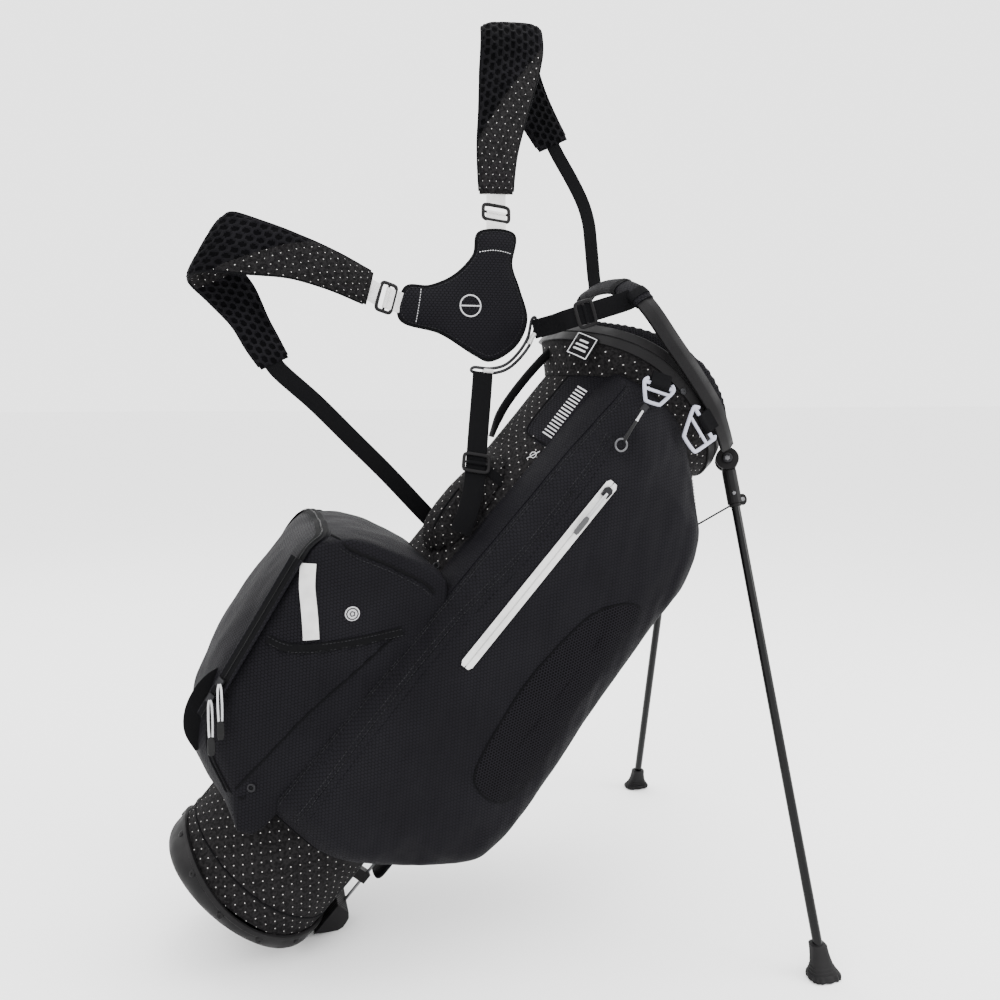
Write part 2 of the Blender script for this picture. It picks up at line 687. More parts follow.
def box_weave(obj, space=BAG):
    """UVs in metres, seen square on along whichever axis of `space` each face looks."""
    mesh, back = obj.data, space.inverted()
    turn = back.to_3x3()
    layer = mesh.uv_layers.get("weave") or mesh.uv_layers.new(name="weave")
    local = [back @ v.co for v in mesh.vertices]
    flat = np.zeros(len(mesh.loops) * 2, np.float32)
    for polygon in mesh.polygons:
        normal = turn @ polygon.normal
        size = [abs(c) for c in normal]
        axis = size.index(max(size))
        first, second = ((1, 2), (0, 2), (0, 1))[axis]
        for loop in polygon.loop_indices:
            point = local[mesh.loops[loop].vertex_index]
            flat[2 * loop], flat[2 * loop + 1] = point[first], point[second]
    layer.data.foreach_set("uv", flat)
    mesh.shade_smooth()
    return obj


def bag(x, y, z):
    return BAG @ Vector((x, y, z))


def at_bag(points):
    return [BAG @ Vector(p) for p in points]


def wander(point, size, seed=0.0):
    """Smooth noise, about -1 to 1, that changes over `size` metres."""
    return noise.noise(Vector(point) / size + Vector((seed, seed * 1.7, 0)))


def near_line(x, z, line):
    """Distance to a polyline in the (x, z) plane, and the length along it."""
    best, spot, walked = 1e9, 0.0, 0.0
    for (ax, az), (bx, bz) in zip(line, line[1:]):
        dx, dz = bx - ax, bz - az
        length = math.hypot(dx, dz)
        t = clamp(((x - ax) * dx + (z - az) * dz) / (length * length))
        distance = math.hypot(x - ax - dx * t, z - az - dz * t)
        if distance < best:
            best, spot = distance, walked + t * length
        walked += length
    return best, spot


# --- carcass ------------------------------------------------------------------------------------
def rim_height(x):
    return RIM_PEAK - (2.6 if x < RIM_PEAK_X else 1.8) * (x - RIM_PEAK_X) ** 2


def tube_point(z, angle, outset=0.0):
    t = (z - TUBE_LOW) / (TUBE_HIGH - TUBE_LOW)
    half_x, half_y = 0.1070 + 0.0105 * t + outset, 0.1070 + 0.0055 * t + outset
    return Vector((-0.005 * t + half_x * math.cos(angle), half_y * math.sin(angle), z))


def rim_row(outset, lift, half_a=COLLAR_A, half_b=COLLAR_B, centre=COLLAR_X, count=120, power=COLLAR_POWER):
    return [Vector((centre + x, y, rim_height(centre + x) + lift))
            for x, y in oval(half_a + outset, half_b + outset, power, count)]


def tube_row(t, outset, ripple, count):
    """A ring of the tube's cloth, t of the way up it."""
    points = []
    for angle in turns(count):
        top = rim_height(tube_point(TUBE_HIGH, angle).x) - 0.014
        point = tube_point(TUBE_LOW + (top - TUBE_LOW) * t, angle, outset)
        slack = wander((point.x * 0.6, point.y * 0.6, point.z), 0.045, 3.0)
        crease = math.exp(-((point.z - 0.052) / 0.02) ** 2) * wander((angle * 0.08, 0, point.z), 0.006, 1.0)
        push = ripple * (0.0009 * slack + 0.0010 * crease)
        points.append(bag(point.x + push * math.cos(angle), point.y + push * math.sin(angle), point.z))
    return points


def build_tube():
    """Dotted cloth with ripstop shoulders, its seams, and the lining that shows through the mouth."""
    count, levels, inner_levels = 120, 96, 8
    outer = [tube_row(i / levels, 0.0, 1.0, count) for i in range(levels + 1)]
    inner = [tube_row(i / inner_levels, -TUBE_WALL, 0.0, count) for i in range(inner_levels, -1, -1)]
    verts, faces, uvs = skin(outer + inner, True, True)
    tube = face_out(new_object("tube_cloth", verts, faces, "dotted_fabric", uvs=uvs, replaces=["bag_tube"]))
    tube.data.materials.append(MATS["lining"])
    tube.data.materials.append(MATS["ripstop"])
    for polygon in tube.data.polygons:
        spot = BAG_BACK @ polygon.center
        turn = math.degrees(math.atan2(abs(spot.y), spot.x))
        if min(polygon.vertices) // count >= levels:
            polygon.material_index = 1
        elif spot.z > 0.684 and 28 < turn < 157:
            polygon.material_index = 2
    surface = Surface(tube)
    for name, angle in (("spine", math.pi - 0.02), ("belly_near", -0.62), ("belly_far", 0.62)):
        line = [tube_point(z, angle, 0.01) for z in np.linspace(0.05, 0.80, 24)]
        for side, shift in (("a", -0.0022), ("b", 0.0022)):
            path = [bag(p.x - shift * math.sin(angle), p.y + shift * math.cos(angle), p.z) for p in line]
            stitches(f"tube_stitch_{name}_{side}", surface, path)
    border = ((0.815, 156), (0.785, 157), (0.745, 157), (0.705, 157), (0.686, 154), (0.685, 140),
              (0.685, 128))
    for tag, side in (("near", -1), ("far", 1)):
        edge = [tube_point(z, math.radians(side * t), 0.01) for z, t in border]
        cord_on(f"shoulder_piping_{tag}", surface, at_bag(edge), 0.0013, "webbing")
        inside = [tube_point(z, math.radians(side * t) * 0.985, 0.01) for z, t in border[:5]]
        stitches(f"shoulder_stitch_{tag}", surface, at_bag(inside))
    hem = [tube_point(0.056 + 0.004 * math.cos(2 * a), a, 0.004) for a in turns(48)]
    cord_on("tube_hem", surface, at_bag(hem), 0.0011, "webbing", cyclic=True)
    return tube


def build_base():
    """Moulded rubber cup with a waved rim, a raised lip, ribs under it and rivets."""
    angles = turns(144)

    def ring(radius, height):
        return [bag(radius * math.cos(a), radius * math.sin(a), height) for a in angles]

    def rim(radius, drop=0.0):
        return [bag(radius * math.cos(a), radius * math.sin(a),
                    BASE_RIM + BASE_WAVE * math.cos(2 * a) - drop) for a in angles]

    flat, inner, hole = BASE_R - BASE_EDGE, BASE_EDGE - BASE_WALL, 0.006
    rows = [ring(hole, 0.0), ring(0.030, 0.0)]
    for r in (0.040, 0.055, 0.070):
        rows += [ring(r - 0.0016, 0.0), ring(r - 0.0010, 0.0008), ring(r + 0.0010, 0.0008),
                 ring(r + 0.0016, 0.0)]
    rows.append(ring(flat, 0.0))
    for step in range(1, 9):
        turn = math.pi / 16 * step
        rows.append(ring(flat + BASE_EDGE * math.sin(turn), BASE_EDGE * (1 - math.cos(turn))))
    rows += [rim(BASE_R - 0.0002, 0.0065), rim(BASE_R + 0.0012, 0.0055), rim(BASE_R + 0.0015, 0.0025),
             rim(BASE_R + 0.0010, 0.0006), rim(BASE_R - 0.0004), rim(BASE_R - BASE_WALL + 0.0006),
             rim(BASE_R - BASE_WALL, 0.0008), ring(BASE_R - BASE_WALL, BASE_EDGE)]
    for step in (6, 4, 2, 0):
        turn = math.pi / 16 * step
        rows.append(ring(flat + inner * math.sin(turn), BASE_EDGE - inner * math.cos(turn)))
    rows.append(ring(hole, BASE_WALL))
    lofted("base_shell", rows, "rubber", replaces=["base_cup"])
    for number, degrees in enumerate(range(-165, 190, 30)):
        a = math.radians(degrees)
        out = Vector((math.cos(a), math.sin(a), 0))
        spot = bag(out.x * BASE_R, out.y * BASE_R, BASE_RIM + BASE_WAVE * math.cos(2 * a) - 0.0095)
        rivet(f"base_rivet_{number}", spot, BAG_TURN @ out, 0.0042, "rubber")


def axes_of(out):
    """Two directions across `out`, and out itself."""
    out = Vector(out).normalized()
    side = out.cross(Vector((0.3, 0.2, 1))).normalized()
    return side, out.cross(side), out


def rivet(name, spot, out, radius, mat, body="bag", slot=None):
    """A domed rivet head with a small dimple."""
    rise = 0.0016
    profile = [(radius * r, rise * h) for r, h in (
        (1.0, -0.4), (1.0, 0.25), (0.92, 0.6), (0.7, 0.9), (0.45, 1.0), (0.25, 1.0), (0.2, 0.6),
        (0.02, 0.55))]
    turned(name, spot, axes_of(out), profile, 24, mat, body, slot)


def eyelet(name, spot, out, radius, hole=0.0026):
    """A rolled metal ring round a dark hole."""
    roll = [((radius + hole) / 2 + (radius - hole) / 2 * math.cos(a), 0.0012 * math.sin(a))
            for a in turns(12)]
    turned(name, spot, axes_of(out), roll, 28, "dark_steel", slot="steel", closed=True)
    plug = ((hole * 1.05, -0.0012), (hole * 1.05, -0.0002), (hole * 0.1, -0.0004))
    turned(f"{name}_hole", spot, axes_of(out), plug, 20, "lining", slot="webbing")


def build_dividers():
    """Padded fabric walls of the four cells, with a rolled top edge."""
    half, soft, steps = 0.0015, 0.0042, 12
    levels = ((TUBE_LOW + 0.001, half), (DIVIDER_TOP - 0.03, half), (DIVIDER_TOP - 0.010, half),
              (DIVIDER_TOP - 0.006, soft), (DIVIDER_TOP - 0.001, soft * 1.1),
              (DIVIDER_TOP + 0.004, soft * 0.8), (DIVIDER_TOP + 0.0058, 0.0010))
    there_and_back = [(1, k / steps) for k in range(steps + 1)] + [(-1, 1 - k / steps)
                                                                   for k in range(steps + 1)]
    for name, reach in (("divider_long", 0), ("divider_cross_wall", math.pi / 2)):
        rows = []
        for z, thick in levels:
            a = tube_point(min(z, DIVIDER_TOP), reach, -TUBE_WALL - 0.001)
            b = tube_point(min(z, DIVIDER_TOP), reach + math.pi, -TUBE_WALL - 0.001)
            spots = [(a.lerp(b, t), side * thick) for side, t in there_and_back]
            rows.append([bag(p.x, shift, z) if reach == 0 else bag(shift, p.y, z) for p, shift in spots])
        replaces = ["divider_cross"] if reach == 0 else []
        box_weave(lofted(name, rows, "ripstop", replaces=replaces))


def build_collar():
    """Two-facet moulded band with a groove round it."""
    profile = ((-0.0016, -0.0262), (-0.0004, -0.0255), (0.0000, -0.0140), (-0.0008, -0.0134),
               (-0.0008, -0.0126),
               (0.0002, -0.0120), (-0.0024, -0.0010), (-0.0032, -0.0001), (-0.0046, 0.0), (-0.0050, -0.0006),
               (-0.0050, -0.0262))
    rows = [[BAG @ p for p in rim_row(outset, lift)] for outset, lift in profile]
    lofted("collar_ring", rows, "plastic", replaces=["collar_band"], closed_v=True, sharp=25)


def build_skirt():
    """Dotted cloth between the collar and the tube."""
    tuck, length = -0.0240, 0.058
    rows = []
    for inset, on_tube in ((-0.0030, False), (0.0012, True), (0.0002, True), (-0.0042, False)):
        if on_tube:
            spots = [tube_point(rim_height(p.x) - length, math.atan2(p.y, p.x), inset)
                     for p in rim_row(-0.0036, 0)]
        else:
            spots = rim_row(inset, tuck)
        rows.append(at_bag(spots))
    lofted("collar_skirt", rows, "dotted_fabric", closed_v=True)


def build_cuff():
    """Ribbed padded mesh inside the collar."""
    section = ((0.0072, -0.02), (0.0084, 0.12), (0.0094, 0.32), (0.0092, 0.52), (0.0078, 0.72),
               (0.0050, 0.90),
               (0.0010, 1.0), (-0.0035, 0.97), (-0.0070, 0.82), (-0.0086, 0.58), (-0.0088, 0.35),
               (-0.0080, 0.12),
               (-0.0070, -0.02))
    count, ribs = 420, 70
    rows = []
    for outset, level in section:
        row = []
        for i, point in enumerate(rim_row(outset, 0.0, CUFF_A, CUFF_B, CUFF_X, count)):
            blend = clamp((point.x + 0.12) / 0.12)
            rise = -0.0132 + level * (0.0232 + 0.016 * blend)
            rib = math.cos(2 * math.pi * i * ribs / count)
            radial = Vector((point.x - CUFF_X, point.y, 0)).normalized()
            swell = 0.0011 * rib * math.sin(math.pi * clamp(level) * 0.9 + 0.2)
            row.append(bag(point.x + radial.x * swell, point.y + radial.y * swell,
                           point.z + rise + 0.0006 * rib * level))
        rows.append(row)
    cuff = lofted("cuff_mesh", rows, "spacer_mesh", replaces=["mouth_cuff"], closed_v=True, sharp=180)


def build_raised_handle():
    """Faceted bar on two arms, with a cloth grip and four webbing wraps."""
    near = ((0.098, 0.0945, 0.8425), (0.080, 0.1055, 0.8462), (0.050, 0.1202, 0.8530),
            (0.025, 0.1262, 0.8588),
            (-0.017, 0.1292, 0.8668), (-0.062, 0.1285, 0.8750), (-0.098, 0.1190, 0.8860),
            (-0.118, 0.1025, 0.8945), (-0.130, 0.0850, 0.8990), (-0.140, 0.0500, 0.9030))
    path = [(x, -y, z) for x, y, z in near] + [(-0.143, 0, 0.905)] + list(reversed(near))
    path, upward = curve_through(path, 0.004), (0.25, 0, 1)
    last = len(path) - 1
    right = ((0.42, 0.98), (0.50, 0.93), (0.98, 0.16), (1.0, 0.06), (0.98, -0.06), (0.60, -0.93),
             (0.50, -0.98))
    section = ((0.0, 1.0), *right, (0.0, -1.0), *((-a, b) for a, b in reversed(right)))
    arm, grip = [], []
    for i, (point, _, side, up) in enumerate(frames_along(path, upward)):
        ends = min(i, last - i) / last
        tall, thick = 0.011 * min(1.0, 0.86 + ends * 1.4), 0.0052
        arm.append([BAG @ (point + side * a * thick + up * b * tall) for a, b in section])
        if point.z > 0.886 and abs(point.y) < 0.108:
            ruck = 1 + 0.05 * wander(point, 0.011, 6.0)
            grip.append([BAG @ (point + side * a + up * b) for a,
                         b in oval(0.0068 * ruck, 0.0128 * ruck, 2.6, 36)])
    lofted("handle_bar", arm, "plastic", replaces=["raised_handle"], sharp=24)
    box_weave(lofted("grip_sleeve", grip, "ripstop"))
    for name, y in (("near", -0.062), ("far", 0.062), ("near_end", -0.098), ("far_end", 0.098)):
        nearest = min(range(len(path)), key=lambda k: abs(path[k].y - y) + (path[k].z <= 0.88))
        rows = [[BAG @ (point + side * a * 0.0076 + up * b * 0.0136) for a, b in oval(1, 1, 3, 24)]
                for point, _, side, up in frames_along(path[nearest - 1:nearest + 3], upward)]
        lofted(f"handle_wrap_{name}", rows, "webbing")


def build_lift_handle():
    """Webbing tube, flattened where it is sewn down at its ends."""
    points = curve_through(((-0.1290, 0, 0.818), (-0.1400, 0, 0.797), (-0.1428, 0, 0.765),
                            (-0.1422, 0, 0.725), (-0.1380, 0, 0.690), (-0.1270, 0, 0.658)), 0.003)
    last, seam_spot = len(points) - 1, 18
    rows = []
    for i, (point, _, across, out) in enumerate(frames_along(points, (-1, 0, 0))):
        full = min(1.0, min(i, last - i) / last / 0.16)
        section = oval(0.0105 - 0.0045 * full, 0.0022 + 0.0032 * full, 2.4, 24)
        rows.append([BAG @ (point + across * a + out * (b - (0.0006 * full if k == seam_spot else 0)))
                     for k, (a, b) in enumerate(section)])
    lofted("handle_strap", rows, "webbing", replaces=["lift_handle"])


# --- pockets -----------------------------------------------------------------------------------
def pocket_rows(outline, levels, weight, core, side, steps=5):
    """Rings of a pocket's shell, from the tube outwards. Levels are (distance out, distance drawn in)."""
    fine = curve_through([(x, z, 0) for x, z in outline], 0.006, cyclic=True)
    low, high = (Vector((*end, 0)) for end in core)
    rows = []
    for mark in np.linspace(0, len(levels) - 1, (len(levels) - 1) * steps + 1):
        y, distance = (float(np.interp(mark, range(len(levels)), column)) for column in zip(*levels))
        row = []
        for p in fine:
            moved = p + (on_segment(p, low, high) - p).normalized() * distance * weight(p.x, p.y)
            row.append(bag(moved.x, side * y, moved.y))
        rows.append(row)
    return rows


def drop_inside_tube(obj, outset=-0.001):
    """Remove what lies inside the bag's tube."""
    bm = bmesh.new()
    bm.from_mesh(obj.data)
    gone = []
    for v in bm.verts:
        p = BAG_BACK @ v.co
        edge = tube_point(min(max(p.z, TUBE_LOW), TUBE_HIGH), math.atan2(p.y, p.x + 0.003), outset)
        if math.hypot(p.x, p.y) < math.hypot(edge.x, edge.y):
            gone.append(v)
    bmesh.ops.delete(bm, geom=gone, context="VERTS")
    bm.to_mesh(obj.data)
    bm.free()


SEAM_B = ((-0.046, 0.735), (-0.040, 0.660), (-0.038, 0.560), (-0.046, 0.450), (-0.045, 0.320),
          (-0.039, 0.160))
SEAM_C = ((-0.079, 0.800), (-0.081, 0.700), (-0.081, 0.560), (-0.081, 0.420), (-0.081, 0.250),
          (-0.079, 0.165))


def side_weight(x, z):
    return 1 + 0.6 * clamp(-x / 0.08) + 1.3 * clamp((z - 0.70) / 0.10)


def build_side_pocket(side, name, node):
    rows = pocket_rows(POCKET_OUTLINE, POCKET_LEVELS, side_weight, POCKET_CORE, side)
    pocket = lofted(name, rows, "ripstop", replaces=[node])
    remesh(pocket, 0.006, 6)

    def held(co):
        p = BAG_BACK @ co
        if abs(p.y) < 0.118:
            return 1.0
        distance, _ = near_line(p.x, p.z, SEAM_B)
        zip_distance, _ = near_line(p.x, p.z, (ZIP_TOP, ZIP_END))
        return 1.0 if distance < 0.006 or zip_distance < 0.014 else 0.0

    def wrinkle(p, normal):
        face = max(0.0, abs(normal.y) - 0.2) / 0.8
        seam, along = near_line(p.x, p.z, SEAM_B)
        edge, run = near_line(p.x, p.z, SEAM_C)
        zipper, _ = near_line(p.x, p.z, (ZIP_TOP, ZIP_END))
        calm = clamp((zipper - 0.010) / 0.02) if side < 0 else 1.0
        pucker = math.exp(-seam / 0.014) * wander((along, 0, seam * 0.4), 0.012, 5.0) * 0.0019
        pucker += math.exp(-edge / 0.016) * wander((run, 1, edge * 0.4), 0.014, 7.0) * 0.0019
        slack = wander((p.x * 1.7 - p.z * 0.7, 0, p.x * 0.7 + p.z * 0.5), 0.050, 2.0 + side) * 0.0023
        fold = wander((p.x * 2.2 + p.z * 1.1, 3, p.z * 0.35), 0.030, 9.0) * 0.0017
        valley = -0.0016 * math.exp(-(seam / 0.004) ** 2)
        return calm * (face * (pucker + slack + fold) - 0.0010) + valley * face

    inflate(pocket, 0.6, 0.004, held, frames=14)
    refine(pocket)
    displace(pocket, wrinkle)
    drop_inside_tube(pocket)
    box_weave(pocket)
    return pocket


def build_pocket_trims(pocket, side, tag):
    """Welted seams, edge piping and stitch rows of a side pocket."""
    surface = Surface(pocket)
    ray = BAG_TURN @ Vector((0, -side, 0))
    plane = side * 0.156
    line = [(x, plane, z) for x, z in SEAM_B]
    strip_on(f"seam_fold_{tag}", surface, at_bag(line), 0.0075, 0.0013, "ripstop", ray=ray)
    for number, shift in enumerate((0.0025, 0.0070)):
        moved = [(x - 0.0048 - shift + 0.0025, y, z) for x, y, z in line]
        stitches(f"seam_stitch_{tag}_{number}", surface, at_bag(moved), ray=ray)
    edge = [(x, side * 0.128, z) for x, z in SEAM_C]
    strip_on(f"edge_fold_{tag}", surface, at_bag(edge), 0.0060, 0.0012, "ripstop")
    for number, shift in enumerate((0.0065, 0.0115)):
        moved = [(x + shift, y - side * -0.006, z) for x, y, z in edge]
        stitches(f"edge_stitch_{tag}_{number}", surface, at_bag(moved))
    rim = curve_through([(x, z, 0) for x, z in POCKET_OUTLINE[:10]], 0.01)
    path = [(p.x * 0.992, side * 0.119, p.y) for p in rim]
    cord_on(f"pocket_piping_{tag}", surface, at_bag(path), 0.0016, "webbing", lift=0.0002)
    upper = curve_through([(x, z, 0) for x, z in POCKET_OUTLINE[9:16]], 0.01)
    path = [(p.x * 0.995, side * 0.119, p.y) for p in upper]
    stitches(f"pocket_edge_stitch_{tag}", surface, at_bag(path))


def ball_weight(x, z):
    back = clamp((BALL_FRONT - 0.001 - x) / 0.03)
    top = clamp((z - 0.30) / 0.12)
    return back * (1 - 0.85 * top)


HEM = ((-0.2010, 0.303), (-0.1780, 0.310), (-0.1450, 0.339), (-0.1137, 0.372), (-0.0885, 0.402))


def build_ball_pocket():
    """Ripstop pocket round the spine, gathered below its hem."""
    half = pocket_rows(BALL_OUTLINE, BALL_LEVELS, ball_weight, BALL_CORE, 1, steps=4)
    other = pocket_rows(BALL_OUTLINE, BALL_LEVELS, ball_weight, BALL_CORE, -1, steps=4)
    pocket = lofted("ball_pocket_cloth", other[::-1] + half[1:], "ripstop", replaces=["ball_pocket"])
    remesh(pocket, 0.006, 5)

    def held(co):
        p = BAG_BACK @ co
        return 1.0 if p.x > -0.10 or abs(abs(p.y) - 0.122) < 0.003 else 0.0

    def wrinkle(p, normal):
        side = max(0.0, abs(normal.y) - 0.3) / 0.7
        hem, _ = near_line(p.x, p.z, HEM)
        below = p.z < np.interp(p.x, [h[0] for h in HEM], [h[1] for h in HEM])
        gather = 0.0
        if below and side > 0:
            across = (p.x + 0.2) * 0.75 + (p.z - 0.30) * 0.66
            gather = side * math.exp(-hem / 0.05) * (0.0046 * wander((across, 0, hem * 0.12), 0.011, 4.0))
            gather += side * 0.0014 * math.exp(-(hem - 0.01) ** 2 / 0.0006)
        slack = wander((p.x * 1.2, p.y, p.z * 0.8), 0.045, 6.0) * 0.0022
        body = wander((p.x * 0.5, p.y * 1.4, p.z), 0.022, 8.0) * 0.0005
        return gather + slack + body - 0.0012

    inflate(pocket, 0.8, 0.005, held, frames=14)
    refine(pocket)
    displace(pocket, wrinkle)
    drop_inside_tube(pocket)
    box_weave(pocket)
    return pocket


def build_bottle_pocket():
    """Open-topped dotted pouch with a padded hem, a stitched slit and a base seam."""
    centre = (-0.096, -0.042)
    levels = ((0.4925, 0.36), (0.5000, 0.62), (0.5100, 0.80), (0.5250, 0.93), (0.5450, 0.99), (0.5700, 1.0),
              (0.5950, 0.95), (0.6150, 0.83), (0.6300, 0.64), (0.6390, 0.46), (0.6415, 0.34))
    rows = []
    for z, grow in levels:
        row = []
        for x, y in oval(0.040 * grow, 0.033 * grow, 2.2, 72):
            angle = math.atan2(y, x)
            slack = 0.0010 * wander((angle * 0.03, 0, z), 0.013, 3.0)
            row.append(bag(centre[0] + x * (1 + slack * 20), centre[1] + y * (1 + slack * 20), z))
        rows.append(row)
    pouch = lofted("bottle_pouch", rows, "dotted_fabric", replaces=["bottle_pocket"])
    drop_inside_tube(pouch, 0.0)
    surface = Surface(pouch)
    slit = [(-0.1245, -0.0640, 0.516), (-0.1290, -0.0620, 0.545), (-0.1290, -0.0600, 0.575)]
    cord_on("bottle_slit", surface, at_bag(slit), 0.0016, "webbing")
    stitches("bottle_stitch", surface, at_bag([(x + 0.006, y - 0.002, z) for x, y, z in slit]))
    ring = [(centre[0] + x, centre[1] + y, 0.6150) for x, y in oval(0.034, 0.028, 2.2, 30) if x < 0.012]
    ring.sort(key=lambda p: math.atan2(p[1] - centre[1], -(p[0] - centre[0])))
    strip_on("bottle_hem", surface, at_bag(ring), 0.012, 0.0014, "webbing")


# --- zippers, pulls and clip rings ----------------------------------------------------------------
def zipper_teeth(name, path, out, width, pitch, mat, slot=None):
    """Coil zipper: a small loop at each pitch, leaning one way and then the other, in one piece."""
    points = curve_through(path, pitch)
    outs = out if isinstance(out, list) else [out] * len(points)
    if len(outs) != len(points):
        outs = [outs[min(len(outs) - 1, i * len(outs) // len(points))] for i in range(len(points))]
    section, parts = oval(pitch * 0.36, pitch * 0.30, 2, 6), []
    for i, (point, along, across, up) in enumerate(frames_along(points, outs)):
        side = 1 if i % 2 else -1
        rows = []
        for t, lift, grow in ((-0.55, -0.2, 0.8), (-0.35, 0.7, 1.0), (0.0, 1.0, 1.0), (0.25, 0.8, 1.0),
                              (0.4, 0.0, 0.7)):
            centre = point + across * (side * -t * width) + up * (lift * 0.0006)
            rows.append([centre + along * x * grow + up * y * grow for x, y in section])
        parts.append(rows)
    verts, faces = merged(parts)
    return face_out(new_object(name, verts, faces, mat, slot=slot, uvs=no_weave(faces)))


def corded_pull(cord_name, grip_name, body, axes, cord, gap, radius, grip, mat):
    """Two cords side by side, from the hinge to a small moulded grip. Axes: hinge, hang, side, front."""
    hinge, hang, side, front = axes
    for tag, shift in (("a", -gap), ("b", gap)):
        points = [hinge + side * shift * s + hang * t + front * f for t, s, f in cord]
        bar(f"{cord_name}_{tag}", curve_through(points, 0.002), oval(radius, radius, 2, 8), front,
            "pale_thread",
            body, "white_trim", replaces=[body] if tag == "a" else [])
    rows = [[hinge + hang * t + side * a + front * b for a, b in section] for t, section in grip]
    lofted(grip_name, rows, mat, body, "plastic")


def build_near_zip():
    """White tape with rounded ends, a coil down its middle, and a corded grey pull."""
    run = (ZIP_END - ZIP_TOP).normalized()
    across = Vector((-run.y, run.x))
    length, wide, round_end = (ZIP_END - ZIP_TOP).length, 0.0080, 0.004

    def place(a, b, lift=0.0):
        spot = ZIP_TOP + run * b + across * a
        return bag(spot.x, ZIP_Y - lift, spot.y)

    for tag, side in (("left", -1), ("right", 1)):
        rows = []
        for b in np.linspace(0.0, length, 60):
            end = min(b, length - b)
            edge = wide if end > round_end else 0.0052 + 0.0028 * math.sqrt(max(0.0, end / round_end))
            rows.append([place(side * a, b, lift) for a, lift in (
                (0.0008, -0.0006), (0.0008, 0.0008), (0.0030, 0.0009), (edge * 0.7, 0.0007),
                (edge * 0.95, 0.0006), (edge, 0.0), (edge * 0.95, -0.0006))])
        lofted(f"near_tape_{tag}", rows, "white_trim", replaces=["near_zip_track"] if side < 0 else [])
    line = [place(0, 0.003, 0.0002), place(0, length - 0.003, 0.0002)]
    zipper_teeth("near_zip_coil", line, NEAR_OUT, 0.0016, 0.0013, "white_trim")
    hang = (place(0, 1) - place(0, 0)).normalized()
    axes = (Vector(JOINTS["near_zip_pull_swing"]["pos_m"]), hang, hang.cross(NEAR_OUT).normalized(), NEAR_OUT)
    cord = ((0.000, 0.4, 0), (0.008, 1.0, 0.0002), (0.020, 1.1, 0.0002), (0.032, 1.0, 0), (0.040, 0.8, 0))
    start, stop = 0.036, 0.061
    grip = []
    for t in np.linspace(start, stop, 26):
        rounding = 0.6 + 0.4 * min(1.0, min(t - start, stop - t) / 0.003)
        rib = 0.0002 if int(t * 1000) % 4 < 2 else 0
        grip.append((t, oval(0.0034 * rounding + rib, 0.0013, 3, 16)))
    corded_pull("near_pull_cord", "near_pull_grip", "near_zip_pull", axes, cord, 0.0012, 0.0009, grip,
                "grey_plastic")


def ball_zip_frame():
    """Straight run of the ball pocket's zipper in the row frame: start, direction, out and length."""
    low, high = bag(-0.1985, BALL_ZIP_Y, 0.196), bag(-0.2395, BALL_ZIP_Y, 0.425)
    along = (high - low).normalized()
    out = BAG_TURN @ Vector((-0.776, -0.63, 0))
    out = (out - along * out.dot(along)).normalized()
    return low, along, out, (high - low).length


def coil_on(name, surface, path, lift):
    points, normals = surface.lay(curve_through(at_bag(path), 0.0015), lift)
    zipper_teeth(name, smooth_points(points, 4), normals, *BALL_COIL)


BALL_ZIP_Y = -0.1225
TAPE = (0.0145, 0.0013)
BALL_COIL = (0.0017, 0.0015, "dark_plastic", "plastic")


def build_ball_zip(surface):
    """U-shaped zipper: straight on the near side, where its sliders run, then over to the far side."""
    low, along, out, length = ball_zip_frame()
    points = [low + along * t + out * 0.0033 for t in np.linspace(-0.004, length * 0.86, 40)]
    bar("ball_tape_near", points, flat_section(*TAPE), out, "webbing", replaces=["ball_zip_track"])
    across = along.cross(out)
    for edge, shift in (("in", -0.0082), ("out", 0.0082)):
        line = [p + across * shift - out * 0.0006 for p in points]
        bar(f"ball_welt_near_{edge}", line, oval(0.0017, 0.0017, 2, 10), out, "ripstop")
    zipper_teeth("ball_coil_near", [points[0] + out * 0.0007, points[-1] + out * 0.0007], out, *BALL_COIL)
    side = [(-0.1985, 0.1225, 0.196), (-0.2120, 0.1225, 0.272), (-0.2255, 0.1225, 0.346),
            (-0.2370, 0.1220, 0.412)]
    strip_on("ball_tape_far", surface, at_bag(side), *TAPE, "webbing", lift=0.0008)
    coil_on("ball_coil_far", surface, side, 0.0022)
    top = [(-0.2330, BALL_ZIP_Y, 0.392), (-0.2372, -0.1220, 0.4120), (-0.2385, -0.1200, 0.4270),
           (-0.2385, -0.112, 0.4345), (-0.2370, -0.092, 0.4385), (-0.2360, -0.05, 0.4400),
           (-0.2360, 0.0, 0.4405), (-0.2360, 0.05, 0.4400), (-0.2370, 0.092, 0.4385),
           (-0.2385, 0.112, 0.4345), (-0.2385, 0.1215, 0.424), (-0.2370, 0.1220, 0.412)]
    strip_on("ball_tape_top", surface, at_bag(top), *TAPE, "webbing", lift=0.0012)
    coil_on("ball_coil_top", surface, top, 0.0028)
    for edge, shift in (("in", 0.0085), ("out", -0.0085)):
        line = [(x + shift * 0.8, y, z + shift * 0.6) for x, y, z in top]
        cord_on(f"ball_welt_top_{edge}", surface, at_bag(line), 0.0017, "ripstop", lift=0.0004)
    low_run = [(-0.1985, -0.1225, 0.194), (-0.187, -0.1215, 0.180), (-0.165, -0.1205, 0.166),
               (-0.135, -0.1200, 0.152), (-0.105, -0.1200, 0.146)]
    for number, shift in enumerate((0.0, 0.010)):
        for tag, side in (("near", 1), ("far", -1)):
            line = [(x, side * (y + shift), z + shift * 0.4) for x, y, z in low_run]
            cord_on(f"ball_low_piping_{tag}_{number}", surface, at_bag(line), 0.0016, "webbing")


